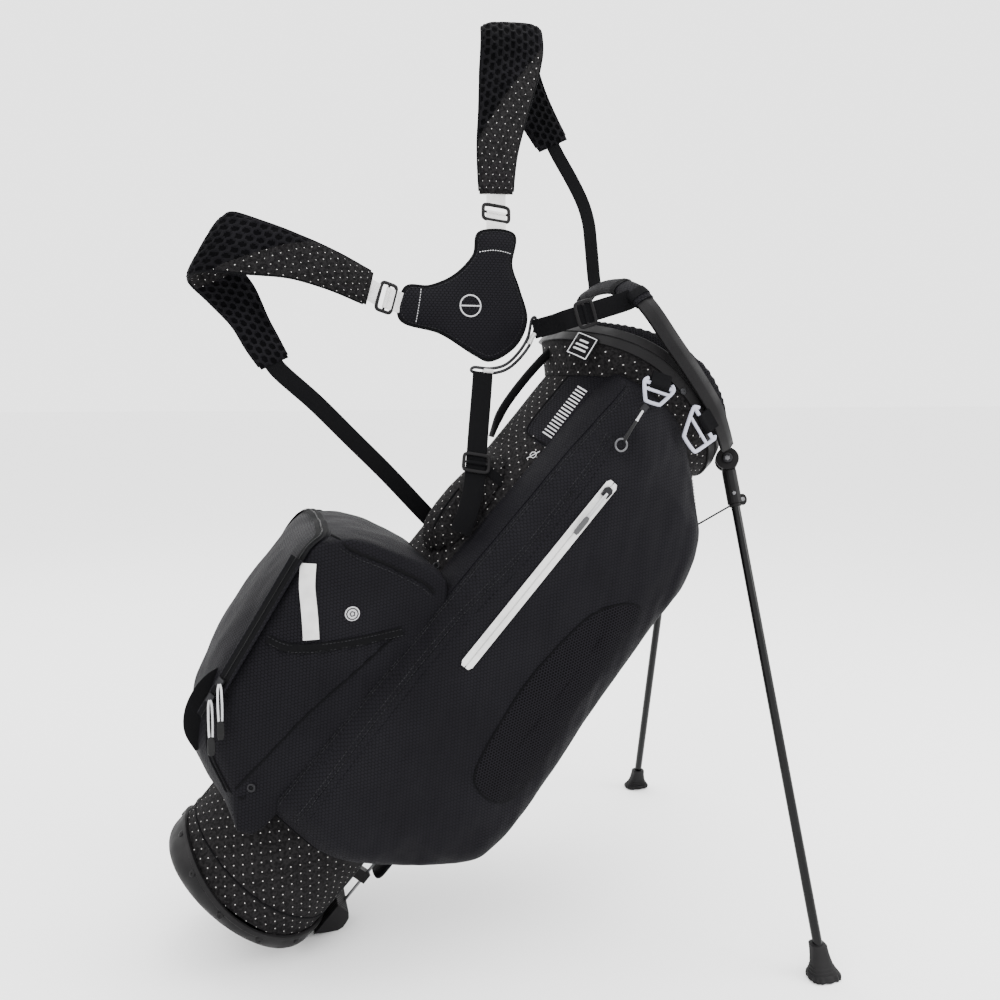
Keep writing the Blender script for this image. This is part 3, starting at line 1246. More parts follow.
def build_ball_pulls():
    hang = (Vector((0, -0.22, 0)) + Vector((0, 0, -1))).normalized()
    cord = ((0.0, 0.2, 0), (0.005, 0.8, 0), (0.014, 1.0, 0.0003), (0.026, 1.05, 0), (0.038, 0.9, 0),
            (0.044, 0.6, 0))
    start, stop = 0.040, 0.060
    grip = []
    for t in np.linspace(start, stop, 22):
        rounding = 0.65 + 0.35 * min(1.0, min(t - start, stop - t) / 0.003)
        grip.append((t, oval(0.0038 * rounding, 0.0012 if 0.046 < t < 0.055 else 0.0016, 3, 18)))
    for label in ("upper", "lower"):
        joint = JOINTS[f"ball_zip_pull_{label}_swing"]
        side = Vector(joint["axis"]).normalized()
        axes = (Vector(joint["pos_m"]), hang, side, side.cross(hang).normalized())
        corded_pull(f"ball_cord_{label}", f"ball_grip_{label}", f"ball_zip_pull_{label}", axes, cord, 0.0021,
                    0.0012, grip, "dark_plastic")


def build_fob():
    """Cord, tapered grip tube and ring, hanging from the upper slider."""
    joint = JOINTS["fob_swing"]
    top = Vector(joint["pos_m"])
    along = (BAG_TURN @ Vector((0.0065, 0, -0.048))).normalized()
    side = Vector(joint["axis"]).normalized()
    front = along.cross(side).normalized()
    axes = (side, front, along)
    cord = ((0.0010, 0.0), (0.0014, 0.001), (0.0014, 0.012), (0.0018, 0.0125), (0.0018, 0.0145))
    turned("fob_cord", top, axes, cord, 14, "pale_thread", "zip_fob", "white_trim", ["zip_fob"])
    grip = ((0.0012, 0.0140), (0.0019, 0.0150), (0.0019, 0.030), (0.0022, 0.0315), (0.0026, 0.040),
            (0.0020, 0.0425), (0.0008, 0.0430))
    turned("fob_grip", top, axes, grip, 16, "dark_plastic", "zip_fob", "plastic")
    loop = [top + along * (0.0480 + 0.0072 * math.cos(a)) + side * 0.0072 * math.sin(a) for a in turns(40)]
    bar("fob_ring", loop, oval(0.0013, 0.0013, 2, 10), front, "steel", "zip_fob", "steel", cyclic=True)


def face_parts_out(obj):
    """Turn the faces of a mesh in several parts outwards."""
    bm = bmesh.new()
    bm.from_mesh(obj.data)
    bmesh.ops.recalc_face_normals(bm, faces=bm.faces)
    bm.to_mesh(obj.data)
    bm.free()
    return obj


def build_clip_rings():
    """Pale moulded trapezoids with hooked ends, a pin and a rung, on looped webbing tabs."""
    for number, corners in enumerate(RING_CORNERS, 1):
        body = f"clip_ring_{number}"
        moulded_in = ("ring_plastic", body, "ring_plastic")
        points = [Vector((x, RING_PLANE, z)) for x, z in corners]
        pin_line = (points[1] - points[0]).normalized()
        up = Vector((-pin_line.z, 0, pin_line.x))
        hooks = (points[0] + up * 0.0050 + pin_line * 0.0035, points[1] + up * 0.0050 - pin_line * 0.0035)
        outline = curve_through([hooks[0], points[0] + up * 0.002, points[0] - up * 0.003,
                                 points[3].lerp(points[0], 0.12), points[3].lerp(points[2], 0.12),
                                 points[2].lerp(points[3], 0.12), points[2].lerp(points[1], 0.12),
                                 points[1] - up * 0.003, points[1] + up * 0.002, hooks[1]], 0.0015)
        pin = [points[0].lerp(points[1], t) for t in np.linspace(0.0, 1.0, 16)]
        loops = [[[BAG @ (p + across * a + normal * b) for a, b in oval(0.0023, 0.0021, 3.0, 14)]
                  for p, _, across, normal in frames_along(line, NEAR_OUT)] for line in (outline, pin)]
        verts, faces = merged(loops[:1])
        clip = face_parts_out(new_object(f"clip_{number}", verts, faces, *moulded_in, [body]))
        remesh(clip, 0.0005, 5)
        clip.data.shade_smooth()
        lofted(f"clip_pin_{number}", loops[1], *moulded_in)
        ends = (points[0].lerp(points[3], 0.34), points[1].lerp(points[2], 0.34))
        rung = [BAG @ ends[0].lerp(ends[1], t) for t in np.linspace(0.0, 1.0, 12)]
        bar(f"clip_rung_{number}", rung, oval(0.0020, 0.0018, 2.6, 12), NEAR_OUT, *moulded_in)
        middle = (points[0] + points[1]) / 2
        loop = curve_through([BAG @ (middle + up * rise + Vector((0, depth, 0))) for rise, depth in (
            (0.0150, -0.0011), (0.0080, -0.0014), (0.0030, -0.0026), (0.0, -0.0034), (-0.0030, -0.0016),
            (-0.0032, 0.0012), (0.0, 0.0033), (0.0030, 0.0024), (0.0080, 0.0012), (0.0150, 0.0009))], 0.0015)
        across = BAG_TURN @ pin_line
        rows = []
        for i, p in enumerate(loop):
            along = (loop[min(i + 1, len(loop) - 1)] - loop[max(i - 1, 0)]).normalized()
            normal = along.cross(across).normalized()
            rows.append([p + across * a + normal * b for a, b in flat_section(0.0255, 0.0013)])
        lofted(f"ring_loop_{number}", rows, "webbing", replaces=[f"ring_tab_{number}"])


# --- trims sewn to the pockets ----------------------------------------------------------------------
def plate(name, surface, outline, thick, mat, ray, slot):
    """A thin patch with the given outline, laid on a surface."""
    edge = curve_through(outline, 0.002, cyclic=True)
    centre = sum(edge, Vector()) / len(edge)
    rows = []
    for grow, rise in ((1.0, 0.0), (1.0, thick * 0.7), (0.97, thick), (0.6, thick), (0.25, thick),
                       (0.02, thick)):
        row, normals = surface.lay([centre.lerp(p, grow) for p in edge], 0.0, ray)
        rows.append([p + n * rise for p, n in zip(row, normals)])
    return box_weave(lofted(name, rows, mat, slot=slot))


def build_ball_trims(surface):
    """Elastic hem, ribbon, flap piping, plain badge, eyelet and towel loop of the ball pocket."""
    ray, plane = -NEAR_OUT, -0.132
    hem = [(x, plane, z) for x, z in HEM]
    strip_on("elastic_hem", surface, at_bag(hem), 0.0105, 0.0022, "webbing", ray=ray, crown=0.0006)
    for number, shift in enumerate((-0.0035, 0.0035)):
        line = [(x - shift * 0.7, y, z + shift * 0.7) for x, y, z in hem]
        stitches(f"hem_stitch_{number}", surface, at_bag(line), ray=ray, lift=0.0026)
    ribbon = [(x, plane, z) for x, z in ((-0.2230, 0.3960), (-0.2080, 0.3760), (-0.1960, 0.3640),
                                         (-0.1800, 0.3480), (-0.1655, 0.3325))]
    strip_on("white_ribbon", surface, at_bag(ribbon), 0.0180, 0.0009, "white_trim", ray=ray, lift=0.0002)
    flap = [(-0.2240, -0.110, 0.4395), (-0.2090, -0.121, 0.4350), (-0.1840, -0.1235, 0.4400),
            (-0.1350, -0.1235, 0.4540), (-0.1060, -0.1235, 0.4610), (-0.0890, -0.1235, 0.4600)]
    cord_on("flap_piping", surface, at_bag(flap), 0.0018, "webbing")
    stitches("flap_stitch", surface, at_bag([(x + 0.001, y, z - 0.006) for x, y, z in flap]))
    cord_on("flap_piping_far", surface, at_bag([(x, -y, z) for x, y, z in flap]), 0.0018, "webbing")
    seam = [(x, plane, z) for x,
            z in ((-0.1190, 0.150), (-0.1130, 0.250), (-0.1010, 0.330), (-0.0920, 0.395))]
    cord_on("ball_side_seam", surface, at_bag(seam), 0.0013, "webbing", ray=ray)
    badge = (-0.1486, plane, 0.3832)
    plate("badge_disc", surface, at_bag(circle(*badge, 0.0085, 16)), 0.0012, "pale_thread", ray, "white_trim")
    for tag, size in (("outer", 0.0066), ("inner", 0.0030)):
        cord_on(f"badge_ring_{tag}", surface, at_bag(circle(*badge, size, 20)), 0.0007, "dark_plastic",
                ray=ray,
                cyclic=True, lift=0.0013, slot="plastic")
    eyelet("drain_eyelet", surface.lay([bag(-0.1065, -0.131, 0.161)], 0.0006)[0][0],
           BAG_TURN @ Vector((-0.3, -1, -0.2)), 0.0052)
    loop = [(-0.2000, -0.0900, 0.2480), (-0.2120, -0.0950, 0.2200), (-0.2085, -0.0960, 0.1900),
            (-0.1940, -0.0960, 0.1680), (-0.1700, -0.0900, 0.1560)]
    bar("towel_loop", curve_through(at_bag(loop), 0.004), flat_section(0.022, 0.0016), NEAR_OUT, "webbing")


def build_tube_trims(surface):
    """Printed bars, a small stitched mark, and the eyelets and rivets by the mouth."""
    pale = {"mat": "pale_thread", "slot": "white_trim"}
    bars, count = [], 16
    for t in np.linspace(0, 1, count):
        start, end = math.radians(215.5 + 1.5 * t), math.radians(223.5 + 1.5 * t)
        spots = [tube_point(0.7700 - 0.0730 * t, start + (end - start) * s, 0.004)
                 for s in np.linspace(0, 1, 5)]
        points, normals = surface.lay(at_bag(spots), 0.0003)
        bars.append([[p + across * a + normal * b for a, b in flat_section(0.0020, 0.0005)]
                     for p, _, across, normal in frames_along(points, normals)])
    face_parts_out(new_object("printed_bars", *merged(bars), **pale))
    turn, z, tube_r = math.radians(222.5), 0.6661, 0.115
    ring = [tube_point(z + 0.0042 * math.sin(a), turn + 0.0042 / tube_r * math.cos(a), 0.003)
            for a in turns(16)]
    cord_on("stitched_ring", surface, at_bag(ring), 0.0006, cyclic=True, **pale)
    dash = [tube_point(z + s * 0.0085, turn + s * 0.004 / tube_r, 0.003) for s in (-1, 0, 1)]
    cord_on("stitched_bar", surface, at_bag(dash), 0.0006, **pale)
    for name, spot, out, radius in (
            ("mouth_grommet", (-0.0639, -0.0968, 0.8139), (-0.56, -0.83, 0), 0.0068),
            ("belly_eyelet", (0.0700, -0.0960, 0.815), (0.6, -0.8, 0), 0.0062),
            ("seam_eyelet", (-0.0905, -0.0700, 0.484), (-0.75, -0.65, 0), 0.0052)):
        eyelet(name, surface.lay([bag(*spot)], 0.0008)[0][0], BAG_TURN @ Vector(out), radius)
    for tag, side in (("near", -1), ("far", 1)):
        rivet(f"collar_rivet_{tag}", bag(-0.0077, 0.1216 * side, 0.8440),
              BAG_TURN @ Vector((0.03, 0.99 * side, 0)),
              0.0045, "dark_steel", slot="steel")


def build_label():
    """Woven label on the collar: a frame and three plain bars."""
    corners = [Vector(p) for p in ((-0.1440, -0.0640, 0.8220), (-0.1245, -0.0945, 0.8235),
                                   (-0.1205, -0.0985, 0.7905), (-0.1400, -0.0680, 0.7890))]
    out = (corners[1] - corners[0]).cross(corners[3] - corners[0]).normalized()
    if out.y > 0:
        out = -out

    def place(a, b, lift):
        spot = corners[0].lerp(corners[1], a).lerp(corners[3].lerp(corners[2], a), b)
        return BAG @ (spot + out * (lift + 0.0012 * math.sin(math.pi * a)))

    rows = []
    for b in np.linspace(0, 1, 9):
        row = [place(a, b, 0.0008) for a in np.linspace(0, 1, 9)]
        rows.append(row + [place(a, b, -0.0004) for a in np.linspace(1, 0, 9)])
    box_weave(lofted("woven_label", rows, "webbing"))
    low, mid, high = (0.06, 0.07), 0.5, (0.94, 0.93)
    frame_line = [low, (mid, low[1]), (high[0], low[1]), (high[0], mid), high, (mid, high[1]),
                  (low[0], high[1]),
                  (low[0], mid), low]
    lines = [(f"label_frame_{k}", *ends, 0.0007) for k, ends in enumerate(zip(frame_line, frame_line[1:]))]
    lines += [(f"label_bar_{k}", (a, b), (c, b), 0.0013)
              for k, (b, a, c) in enumerate(((0.32, 0.30, 0.70), (0.50, 0.22, 0.78), (0.68, 0.22, 0.78)))]
    for name, (a, b), (c, d), half in lines:
        line = [place(a + (c - a) * t, b + (d - b) * t, 0.0011) for t in (0, 0.5, 1)]
        bar(name, line, oval(half, 0.0005, 2, 8), BAG_TURN @ out, "pale_thread", slot="white_trim")


def build_hip_pad(pocket):
    """Dark mesh panel, softly crowned, with a piped edge."""
    outline = ((0.078, 0.340), (0.100, 0.316), (0.135, 0.322), (0.146, 0.360), (0.134, 0.470), (0.126, 0.560),
               (0.116, 0.602), (0.088, 0.588), (0.066, 0.540), (0.062, 0.440))
    edge = curve_through([(x, 0, z) for x, z in outline], 0.003, cyclic=True)
    low, high, plane = Vector((0.105, 0, 0.360)), Vector((0.098, 0, 0.560)), -0.158
    surface, ray = Surface(pocket), -NEAR_OUT
    rows = []
    for grow, lift in ((1.0, -0.0015), (1.0, 0.0010), (0.985, 0.0018), (0.95, 0.0022), (0.85, 0.0026),
                       (0.7, 0.0028),
                       (0.55, 0.0029), (0.4, 0.0030), (0.25, 0.0030), (0.1, 0.0030), (0.02, 0.0030)):
        spots = [on_segment(p, low, high).lerp(p, grow) for p in edge]
        laid, normals = surface.lay([bag(p.x, plane, p.z) for p in spots], 0.0, ray)
        rows.append([p + n * lift for p, n in zip(laid, smooth_vectors(normals, 6))])
    pad = box_weave(lofted("hip_panel", rows, "spacer_mesh", replaces=["hip_pad"]))
    cord_on("hip_piping", surface, [bag(p.x, plane, p.z) for p in edge], 0.0015, "webbing", ray=ray,
            cyclic=True)


def build_rod_sleeve():
    """Cloth sleeve over the rod, with shallow channels across its front."""
    low, high = 0.118, 0.574
    rows = []
    for z in np.linspace(low, high, 110):
        half = 0.014 + 0.009 * math.sqrt(min(1.0, min(z - low, high - z) / 0.010))
        channel = 0.060 * (1 - abs(math.sin(math.pi * (z - low) / 0.038)) ** 0.5)
        rows.append([bag(0.1390 + x * (1 - channel * (x > 0)), y, z) for x, y in oval(0.0045, half, 2.6, 36)])
    sleeve = lofted("belly_sleeve", rows, "ripstop", replaces=["rod_sleeve"])


def build_roller():
    """Ribbed rubber roller foot that the ground pushes."""
    profile = ((0.1137, 0.0205), (0.1250, 0.0300), (0.1370, 0.0412), (0.1395, 0.0480), (0.1390, 0.0560),
               (0.1375, 0.0620), (0.1320, 0.0680), (0.1230, 0.0680), (0.1137, 0.0680), (0.1137, 0.0450))
    centre = Vector((0.1240, 0.0500))
    rows = []
    for step in range(61):
        y = -0.030 + 0.060 * step / 60
        groove = 0.91 if step % 5 in (2, 3) and 2 < step < 58 else 1.0
        ends = 0.94 if step in (0, 60) else 1.0
        rows.append([bag(centre.x + (x - centre.x) * groove * ends, y,
                         centre.y + (z - centre.y) * groove * ends)
                     for x, z in profile])
    lofted("roller_rubber", rows, "rubber", "actuator", replaces=["roller_foot"], sharp=30)


# --- stand -------------------------------------------------------------------------------------------
def build_legs():
    """Screws, rivets, pins and ferrules of both legs, and their feet."""
    for name, side in (("near_leg", -1), ("far_leg", 1)):
        joint = JOINTS[f"{name}_fold"]
        pivot, axis = Vector(joint["pos_m"]), Vector(joint["axis"]).normalized()
        out = axis if axis.y * side > 0 else -axis
        sole = Vector(MOUNTS[f"{name.split('_')[0]}_foot_sole"]["pos_m"])
        along = (sole - pivot).normalized()
        across = along.cross(out).normalized()
        head = pivot + out * 0.0132
        rows = []
        for grow, rise, star in ((1.0, -0.0016, 0), (1.02, 0.0, 0), (0.96, 0.0007, 0), (0.80, 0.0010, 0),
                                 (0.56, 0.0010, 0), (0.50, 0.0009, 1), (0.46, -0.0008, 1),
                                 (0.05, -0.0009, 1)):
            ring = []
            for a in turns(48):
                r = 0.0064 * grow * (1 + star * 0.16 * math.cos(6 * a))
                ring.append(head + along * r * math.cos(a) + across * r * math.sin(a) + out * rise)
            rows.append(ring)
        lofted(f"{name}_screw", rows, "dark_steel", slot="steel")
        rivet(f"{name}_socket_rivet", pivot + along * 0.047 + out * 0.0088, out, 0.0026, "steel", name,
              "steel")
        lug = pivot + along * 0.056 + (across if across.x > 0 else -across) * 0.0105
        pin = ((0.0024, -0.0036), (0.0028, -0.0034), (0.0028, 0.0034), (0.0024, 0.0036))
        turned(f"{name}_lug_pin", lug, (along, across, out), pin, 16, "steel", name, "steel")
        build_foot(name, sole, pivot)
        collar = ((0.0066, 0.0602), (0.0080, 0.0604), (0.0082, 0.0625), (0.0072, 0.0640), (0.0060, 0.0642))
        turned(f"{name}_ferrule", pivot, (out, across, along), collar, 28, "plastic", name, "plastic")


def build_foot(name, sole, pivot):
    """Flared rubber foot with stepped ribs and a toothed sole edge."""
    up = pivot - sole
    rows = []
    profile = ((0.0, 0.90), (0.0004, 0.99), (0.0025, 1.0), (0.0050, 0.985), (0.0068, 0.94), (0.0072, 0.86),
               (0.0096, 0.84), (0.0102, 0.77), (0.0130, 0.75), (0.0136, 0.69), (0.0170, 0.66),
               (0.0220, 0.585),
               (0.0280, 0.53), (0.0330, 0.505), (0.0352, 0.50), (0.0362, 0.46), (0.0363, 0.36))
    for height, grow in profile:
        spot = sole + up * (height / up.z)
        ring = []
        for k, (x,
                y) in enumerate(oval(0.020 * grow, max(0.014 * grow, 0.0095 * min(1.0, grow * 2)), 3.0, 96)):
            tooth = 0.0007 * math.cos(2 * math.pi * k / 6) if 0.0 < height < 0.006 else 0.0
            reach = math.hypot(x, y)
            ring.append(spot + Vector((x * (1 + tooth / reach), y * (1 + tooth / reach), 0)))
        rows.append(ring)
    lofted(f"{name}_rubber_foot", rows, "rubber", name, replaces=[f"{name}_foot"], sharp=30)


# --- harness ------------------------------------------------------------------------------------------
# rows of a shoulder pad, stand frame: its centre line, half its width, and the way its cloth side faces
LEFT_PAD = (
    ((0.092, -0.045, 0.820), (0.005, 0, 0.019), (0, -1, 0)),
    ((0.050, -0.052, 0.838), (0.006, 0, 0.021), (0, -1, 0)),
    ((0.005, -0.060, 0.852), (0.006, 0, 0.024), (0, -1, 0)),
    ((-0.040, -0.064, 0.860), (0.008, 0, 0.030), (-0.1, -1, 0.1)),
    ((-0.078, -0.060, 0.865), (0.014, 0.004, 0.034), (-0.6, -0.8, 0.1)),
    ((-0.093, -0.040, 0.856), (0.018, 0.004, 0.030), (-1, -0.1, 0.3)),
    ((-0.086, -0.018, 0.836), (0.026, 0.004, 0.014), (-0.5, 0.85, 0)),
    ((-0.066, -0.010, 0.812), (0.026, 0, 0.010), (-0.1, 1, 0)),
    ((-0.046, -0.010, 0.780), (0.021, 0, 0.004), (0, 1, 0)),
    ((-0.031, -0.012, 0.752), (0.020, 0, 0.005), (0, 1, 0)),
    ((-0.019, -0.014, 0.732), (0.016, 0, 0.008), (0, 1, 0)))
RIGHT_PAD = (
    ((0.2590, -0.004, 0.946), (0.022, 0, 0.001), (0, -1, 0)),
    ((0.2610, -0.002, 0.997), (0.026, 0, -0.002), (0, -1, 0)),
    ((0.2700, 0.002, 1.047), (0.032, 0, 0), (0, -1, 0)),
    ((0.2790, 0.006, 1.096), (0.039, 0, 0), (0, -1, 0)),
    ((0.2840, 0.010, 1.130), (0.041, 0, -0.002), (0, -1, 0.2)),
    ((0.2860, 0.022, 1.156), (0.040, 0, 0.002), (0, -0.6, 0.8)),
    ((0.2900, 0.046, 1.158), (0.034, 0, 0.004), (0, 0.6, 0.8)),
    ((0.3050, 0.062, 1.128), (0.027, 0, 0.006), (0, 1, 0.1)),
    ((0.3220, 0.066, 1.092), (0.024, 0, 0.007), (0, 1, 0)),
    ((0.3380, 0.068, 1.062), (0.024, 0, 0.008), (0, 1, 0)),
    ((0.3600, 0.070, 1.030), (0.020, 0, 0.010), (0, 1, 0)))
PAD_THICK = 0.014


def honeycomb(u, v, pitch):
    """Distance measure in a hexagon grid: 0 in a cell's middle, 0.5 on its edges."""
    best = 1.0
    for shift in (0.0, 0.5):
        x = abs((u / pitch + shift + 0.5) % 1.0 - 0.5)
        y = abs((v / pitch + shift * math.sqrt(3) + math.sqrt(3) / 2) % math.sqrt(3) - math.sqrt(3) / 2)
        best = min(best, max(x, x * 0.5 + y * 0.866))
    return best


def build_shoulder_pad(name, node, rows_in, mesh_from, wedge, flip):
    """Crowned pad: dotted cloth, and an open mesh with raised hexagons over its wedge and return."""
    centres = curve_through([Vector(c) for c, _, _ in rows_in], 0.0013)
    data = np.array([tuple(w) + tuple(Vector(t).normalized()) for _, w, t in rows_in])
    knots = [0.0]
    for (a, _, _), (b, _, _) in zip(rows_in, rows_in[1:]):
        knots.append(knots[-1] + (Vector(b) - Vector(a)).length)
    walk = np.linspace(0, knots[-1], len(centres))
    smooth = np.array([np.interp(walk, knots, data[:, k]) for k in range(6)]).T
    kernel = np.ones(15) / 15
    padded = np.pad(smooth, ((7, 7), (0, 0)), mode="edge")
    smooth = np.array([np.convolve(padded[:, k], kernel, mode="valid") for k in range(6)]).T
    wide = 46
    rows, kinds = [], []
    total = knots[-1]
    for i, centre in enumerate(centres):
        w, t = Vector(smooth[i][:3]), Vector(smooth[i][3:]).normalized()
        s = walk[i]
        end = min(s, total - s)
        taper = math.sqrt(min(1.0, (end + 0.0012) / 0.009))
        ring, kind = [], []
        for face in (1, -1):
            for k in range(wide + 1):
                a = (1 - 2 * k / wide) * face
                edge = max(0.0, 1 - abs(a) ** 3.2)
                thick = PAD_THICK / 2 * edge ** 0.5 * taper * 0.93
                along_mesh = s > mesh_from or (s > wedge[0] and face > 0
                                              and a * flip > 1 - 2 * (s - wedge[0]) / (wedge[1] - wedge[0]))
                rise, cell = 0.0, 0.5
                if along_mesh and abs(a) < 0.93:
                    cell = honeycomb(s, a * w.length * 1.25, 0.0115)
                    rise = 0.0020 * clamp((cell - 0.30) / 0.10) - 0.0012
                else:
                    rise = 0.0004 * wander((a * w.length, face, s), 0.010, 3.0)
                if face > 0 and not along_mesh and end < 0.030:
                    rise -= 0.0010 * math.exp(-((end - 0.016) / 0.0018) ** 2)
                if abs(abs(a) - 0.88) < 0.03:
                    rise -= 0.0006
                ring.append(STAND @ (centre + w * a * (0.985 if abs(a) == 1
                                                       else 1) + t * face * (thick + rise)))
                kind.append((2 if cell < 0.33 else 1) if along_mesh else 0)
        rows.append(ring)
        kinds.append(kind)
    verts, faces, uvs = skin(rows)
    pad = new_object(name, verts, faces, "dotted_fabric", replaces=[node], uvs=uvs, sharp=180)
    face_out(pad)
    pad.data.materials.append(MATS["pad_mesh"])
    pad.data.materials.append(MATS["pad_hole"])
    count = len(rows[0])
    for polygon in pad.data.polygons:
        i, j = divmod(min(polygon.vertices), count)
        polygon.material_index = kinds[min(i, len(kinds) - 1)][j]
    piping = [[row[0].lerp(row[-1], 0.5) for row in rows],
              [row[wide].lerp(row[wide + 1], 0.5) for row in rows]]
    for tag, line in zip(("a", "b"), piping):
        spaced = line[3:-3:3]
        outs = [(p - (STAND @ centres[3 + 3 * k])).normalized() for k, p in enumerate(spaced)]
        bar(f"{name}_piping_{tag}", spaced, oval(0.0015, 0.0015, 2, 8), outs, "webbing")
    return pad


def build_yoke():
    """Quilted harness pad with bound edges, pale stitch lines and a plain ring and bar."""
    outline = ((0.137, 0.824), (0.131, 0.786), (0.180, 0.771), (0.224, 0.745), (0.246, 0.738), (0.277, 0.757),
               (0.291, 0.789), (0.281, 0.826), (0.271, 0.856), (0.274, 0.893), (0.231, 0.894), (0.223, 0.866),
               (0.199, 0.841), (0.168, 0.827))
    edge = curve_through([(x, 0, z) for x, z in outline], 0.0025, cyclic=True)
    core = [Vector((0.165, 0, 0.800)), Vector((0.235, 0, 0.795)), Vector((0.252, 0, 0.870))]
    middle = -0.030

    def inset(p, grow):
        spots = [on_segment(p, a, b) for a, b in zip(core, core[1:])]
        return min(spots, key=lambda s: (s - p).length).lerp(p, grow)

    def at_stand(points, shift=0.0):
        return [STAND @ Vector((p.x, middle + shift, p.z)) for p in points]

    rows = []
    marks = (0.02, 0.2, 0.4, 0.6, 0.75, 0.86, 0.93, 0.97, 1.0)
    for face in (-1, 1):
        for grow in marks if face < 0 else reversed(marks):
            thick = 0.0016 + 0.0050 * (1 - grow ** 3.5) + (0.0007 if grow > 0.96 else 0)
            rows.append(at_stand([inset(p, grow) for p in edge], face * thick))
    pad = lofted("yoke_cushion", rows, "ripstop", replaces=["harness_pad"])
    remesh(pad, 0.0025, 3)
    inflate(pad, 2.0, 0.0022, lambda co: 1.0 if abs(co.y - middle) < 0.0022 else 0.0, frames=12)
    box_weave(pad, STAND)
    surface, ray = Surface(pad), -NEAR_OUT
    bar("yoke_binding", at_stand(edge), oval(0.0019, 0.0024, 2.4, 12), NEAR_OUT, "webbing", cyclic=True)
    inner = at_stand([inset(p, 0.90) for p in edge[::3]])
    stitches("yoke_stitch", surface, inner + inner[:1], ray=ray)
    for tag, ends in (("left", ((0.1560, 0.8235), (0.1520, 0.8000), (0.1490, 0.7825))),
                      ("right", ((0.2285, 0.8695), (0.2480, 0.8720), (0.2700, 0.8690)))):
        path = [STAND @ Vector((x, middle, z)) for x, z in ends]
        stitches(f"yoke_line_{tag}", surface, path, "pale_thread", ray=ray, pitch=0.0032)
    dash = [Vector((0.205 + 0.024 * t, middle, 0.804)) for t in (0, 0.5, 1)]
    for name, line, closed in (("yoke_ring", circle(0.217, middle, 0.804, 0.013, 24), True),
                               ("yoke_dash", dash, False)):
        cord_on(name, surface, [STAND @ p for p in line], 0.0009, "pale_thread", ray=ray, cyclic=closed,
                slot="white_trim")


def strap(name, points, width, mat, replaces, thick=0.0016):
    line = curve_through([STAND @ Vector(p) for p in points], 0.004)
    return bar(name, line, flat_section(width, thick), NEAR_OUT, mat, replaces=replaces)


def loop_frame(name, node, centre, along, width, length, body, cloth):
    """Rounded rectangular loop with a middle bar that the cloth is folded over."""
    across = along.cross(NEAR_OUT).normalized()
    face = across.cross(along)
    spots = [centre + across * a + along * b for a, b in oval(width / 2, length / 2, 6, 96)]
    bar(name, [STAND @ p for p in spots], oval(0.0022, 0.0019, 2.6, 14), face, "plastic", body, "plastic",
        [node], cyclic=True)
    for tag, reach, size, mat in (("bar", width / 2, 0.0015, "plastic"),
                                  ("fold", width / 2 - 0.0045, 0.0024, cloth)):
        line = [STAND @ (centre + across * reach * t) for t in np.linspace(-1, 1, 9)]
        bar(f"{name}_{tag}", line, oval(size, size * 0.9, 2.2, 14), face, mat, body, mat)


STRAPS = (  # name, width, points in the stand frame
    ("upper", 0.024, ((0.3010, -0.0310, 0.7770), (0.3080, -0.042, 0.7790), (0.3180, -0.064, 0.7822),
                      (0.3280, -0.083, 0.7865), (0.3630, -0.0885, 0.7975), (0.3980, -0.092, 0.8085),
                      (0.4080, -0.0925, 0.8130))),
    ("lower", 0.026, ((0.2335, -0.0310, 0.7225), (0.2320, -0.037, 0.7130), (0.2215, -0.0575, 0.6515),
                      (0.2110, -0.078, 0.5900), (0.2000, -0.090, 0.5560), (0.1890, -0.094, 0.5300))),
    ("left", 0.022, ((-0.0260, -0.014, 0.7440), (-0.0150, -0.015, 0.7245), (0.0280, -0.0115, 0.6850),
                     (0.070, -0.008, 0.6420), (0.1150, -0.004, 0.5960), (0.1570, 0.000, 0.5500),
                     (0.1720, 0.0010, 0.5340))),
    ("right", 0.019, ((0.3540, 0.070, 1.0400), (0.3665, 0.070, 1.0180), (0.3870, 0.0682, 0.9850),
                      (0.4020, 0.066, 0.9560), (0.4090, 0.062, 0.9300), (0.4110, 0.058, 0.9050),
                      (0.4145, 0.054, 0.8580), (0.4150, 0.050, 0.8440), (0.4152, 0.0495, 0.8350))))
TABS = (  # name, the tab's ends, where its tapes enter the shoulder pad and the yoke
    ("left", (0.1270, -0.0315, 0.8070), (0.0985, -0.0425, 0.8150), (0.0880, -0.0462, 0.8210),
     (0.1370, -0.0300, 0.8040)),
    ("right", (0.2530, -0.0250, 0.8990), (0.2580, -0.0070, 0.9420), (0.2594, -0.0025, 0.9500),
     (0.2522, -0.0290, 0.8910)))


def build_straps():
    """Webbing straps, the buckles on their tabs, and the adjusters that slide on two of the straps."""
    for name, width, points in STRAPS:
        strap(f"web_{name}", points, width, "webbing", [f"strap_{name}"])
    for name, low, high, pad_end, yoke_end in TABS:
        low, high = Vector(low), Vector(high)
        centre, along = (low + high) / 2, (high - low).normalized()
        loop_frame(f"buckle_frame_{name}", f"buckle_{name}", centre, along, 0.0335, 0.0215, "bag",
                   "white_trim")
        strap(f"tape_pad_{name}", (pad_end, centre + along * 0.0108), 0.025, "white_trim", [f"tab_{name}"],
              0.0015)
        strap(f"tape_yoke_{name}", (yoke_end, centre), 0.025, "white_trim", [], 0.0015)
    for name, a, b, wide in (("upper", (0.3280, -0.083, 0.7865), (0.3980, -0.092, 0.8085), 0.0300),
                             ("lower", (0.2320, -0.037, 0.7130), (0.2110, -0.078, 0.5900), 0.0320)):
        body = f"adjuster_{name}"
        low, high = (Vector(corner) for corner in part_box(body))
        centre = STAND.inverted() @ ((low + high) / 2) + NEAR_OUT * 0.0024
        loop_frame(f"slide_{name}", body, centre, (Vector(b) - Vector(a)).normalized(), wide, 0.0215, body,
                   "webbing")


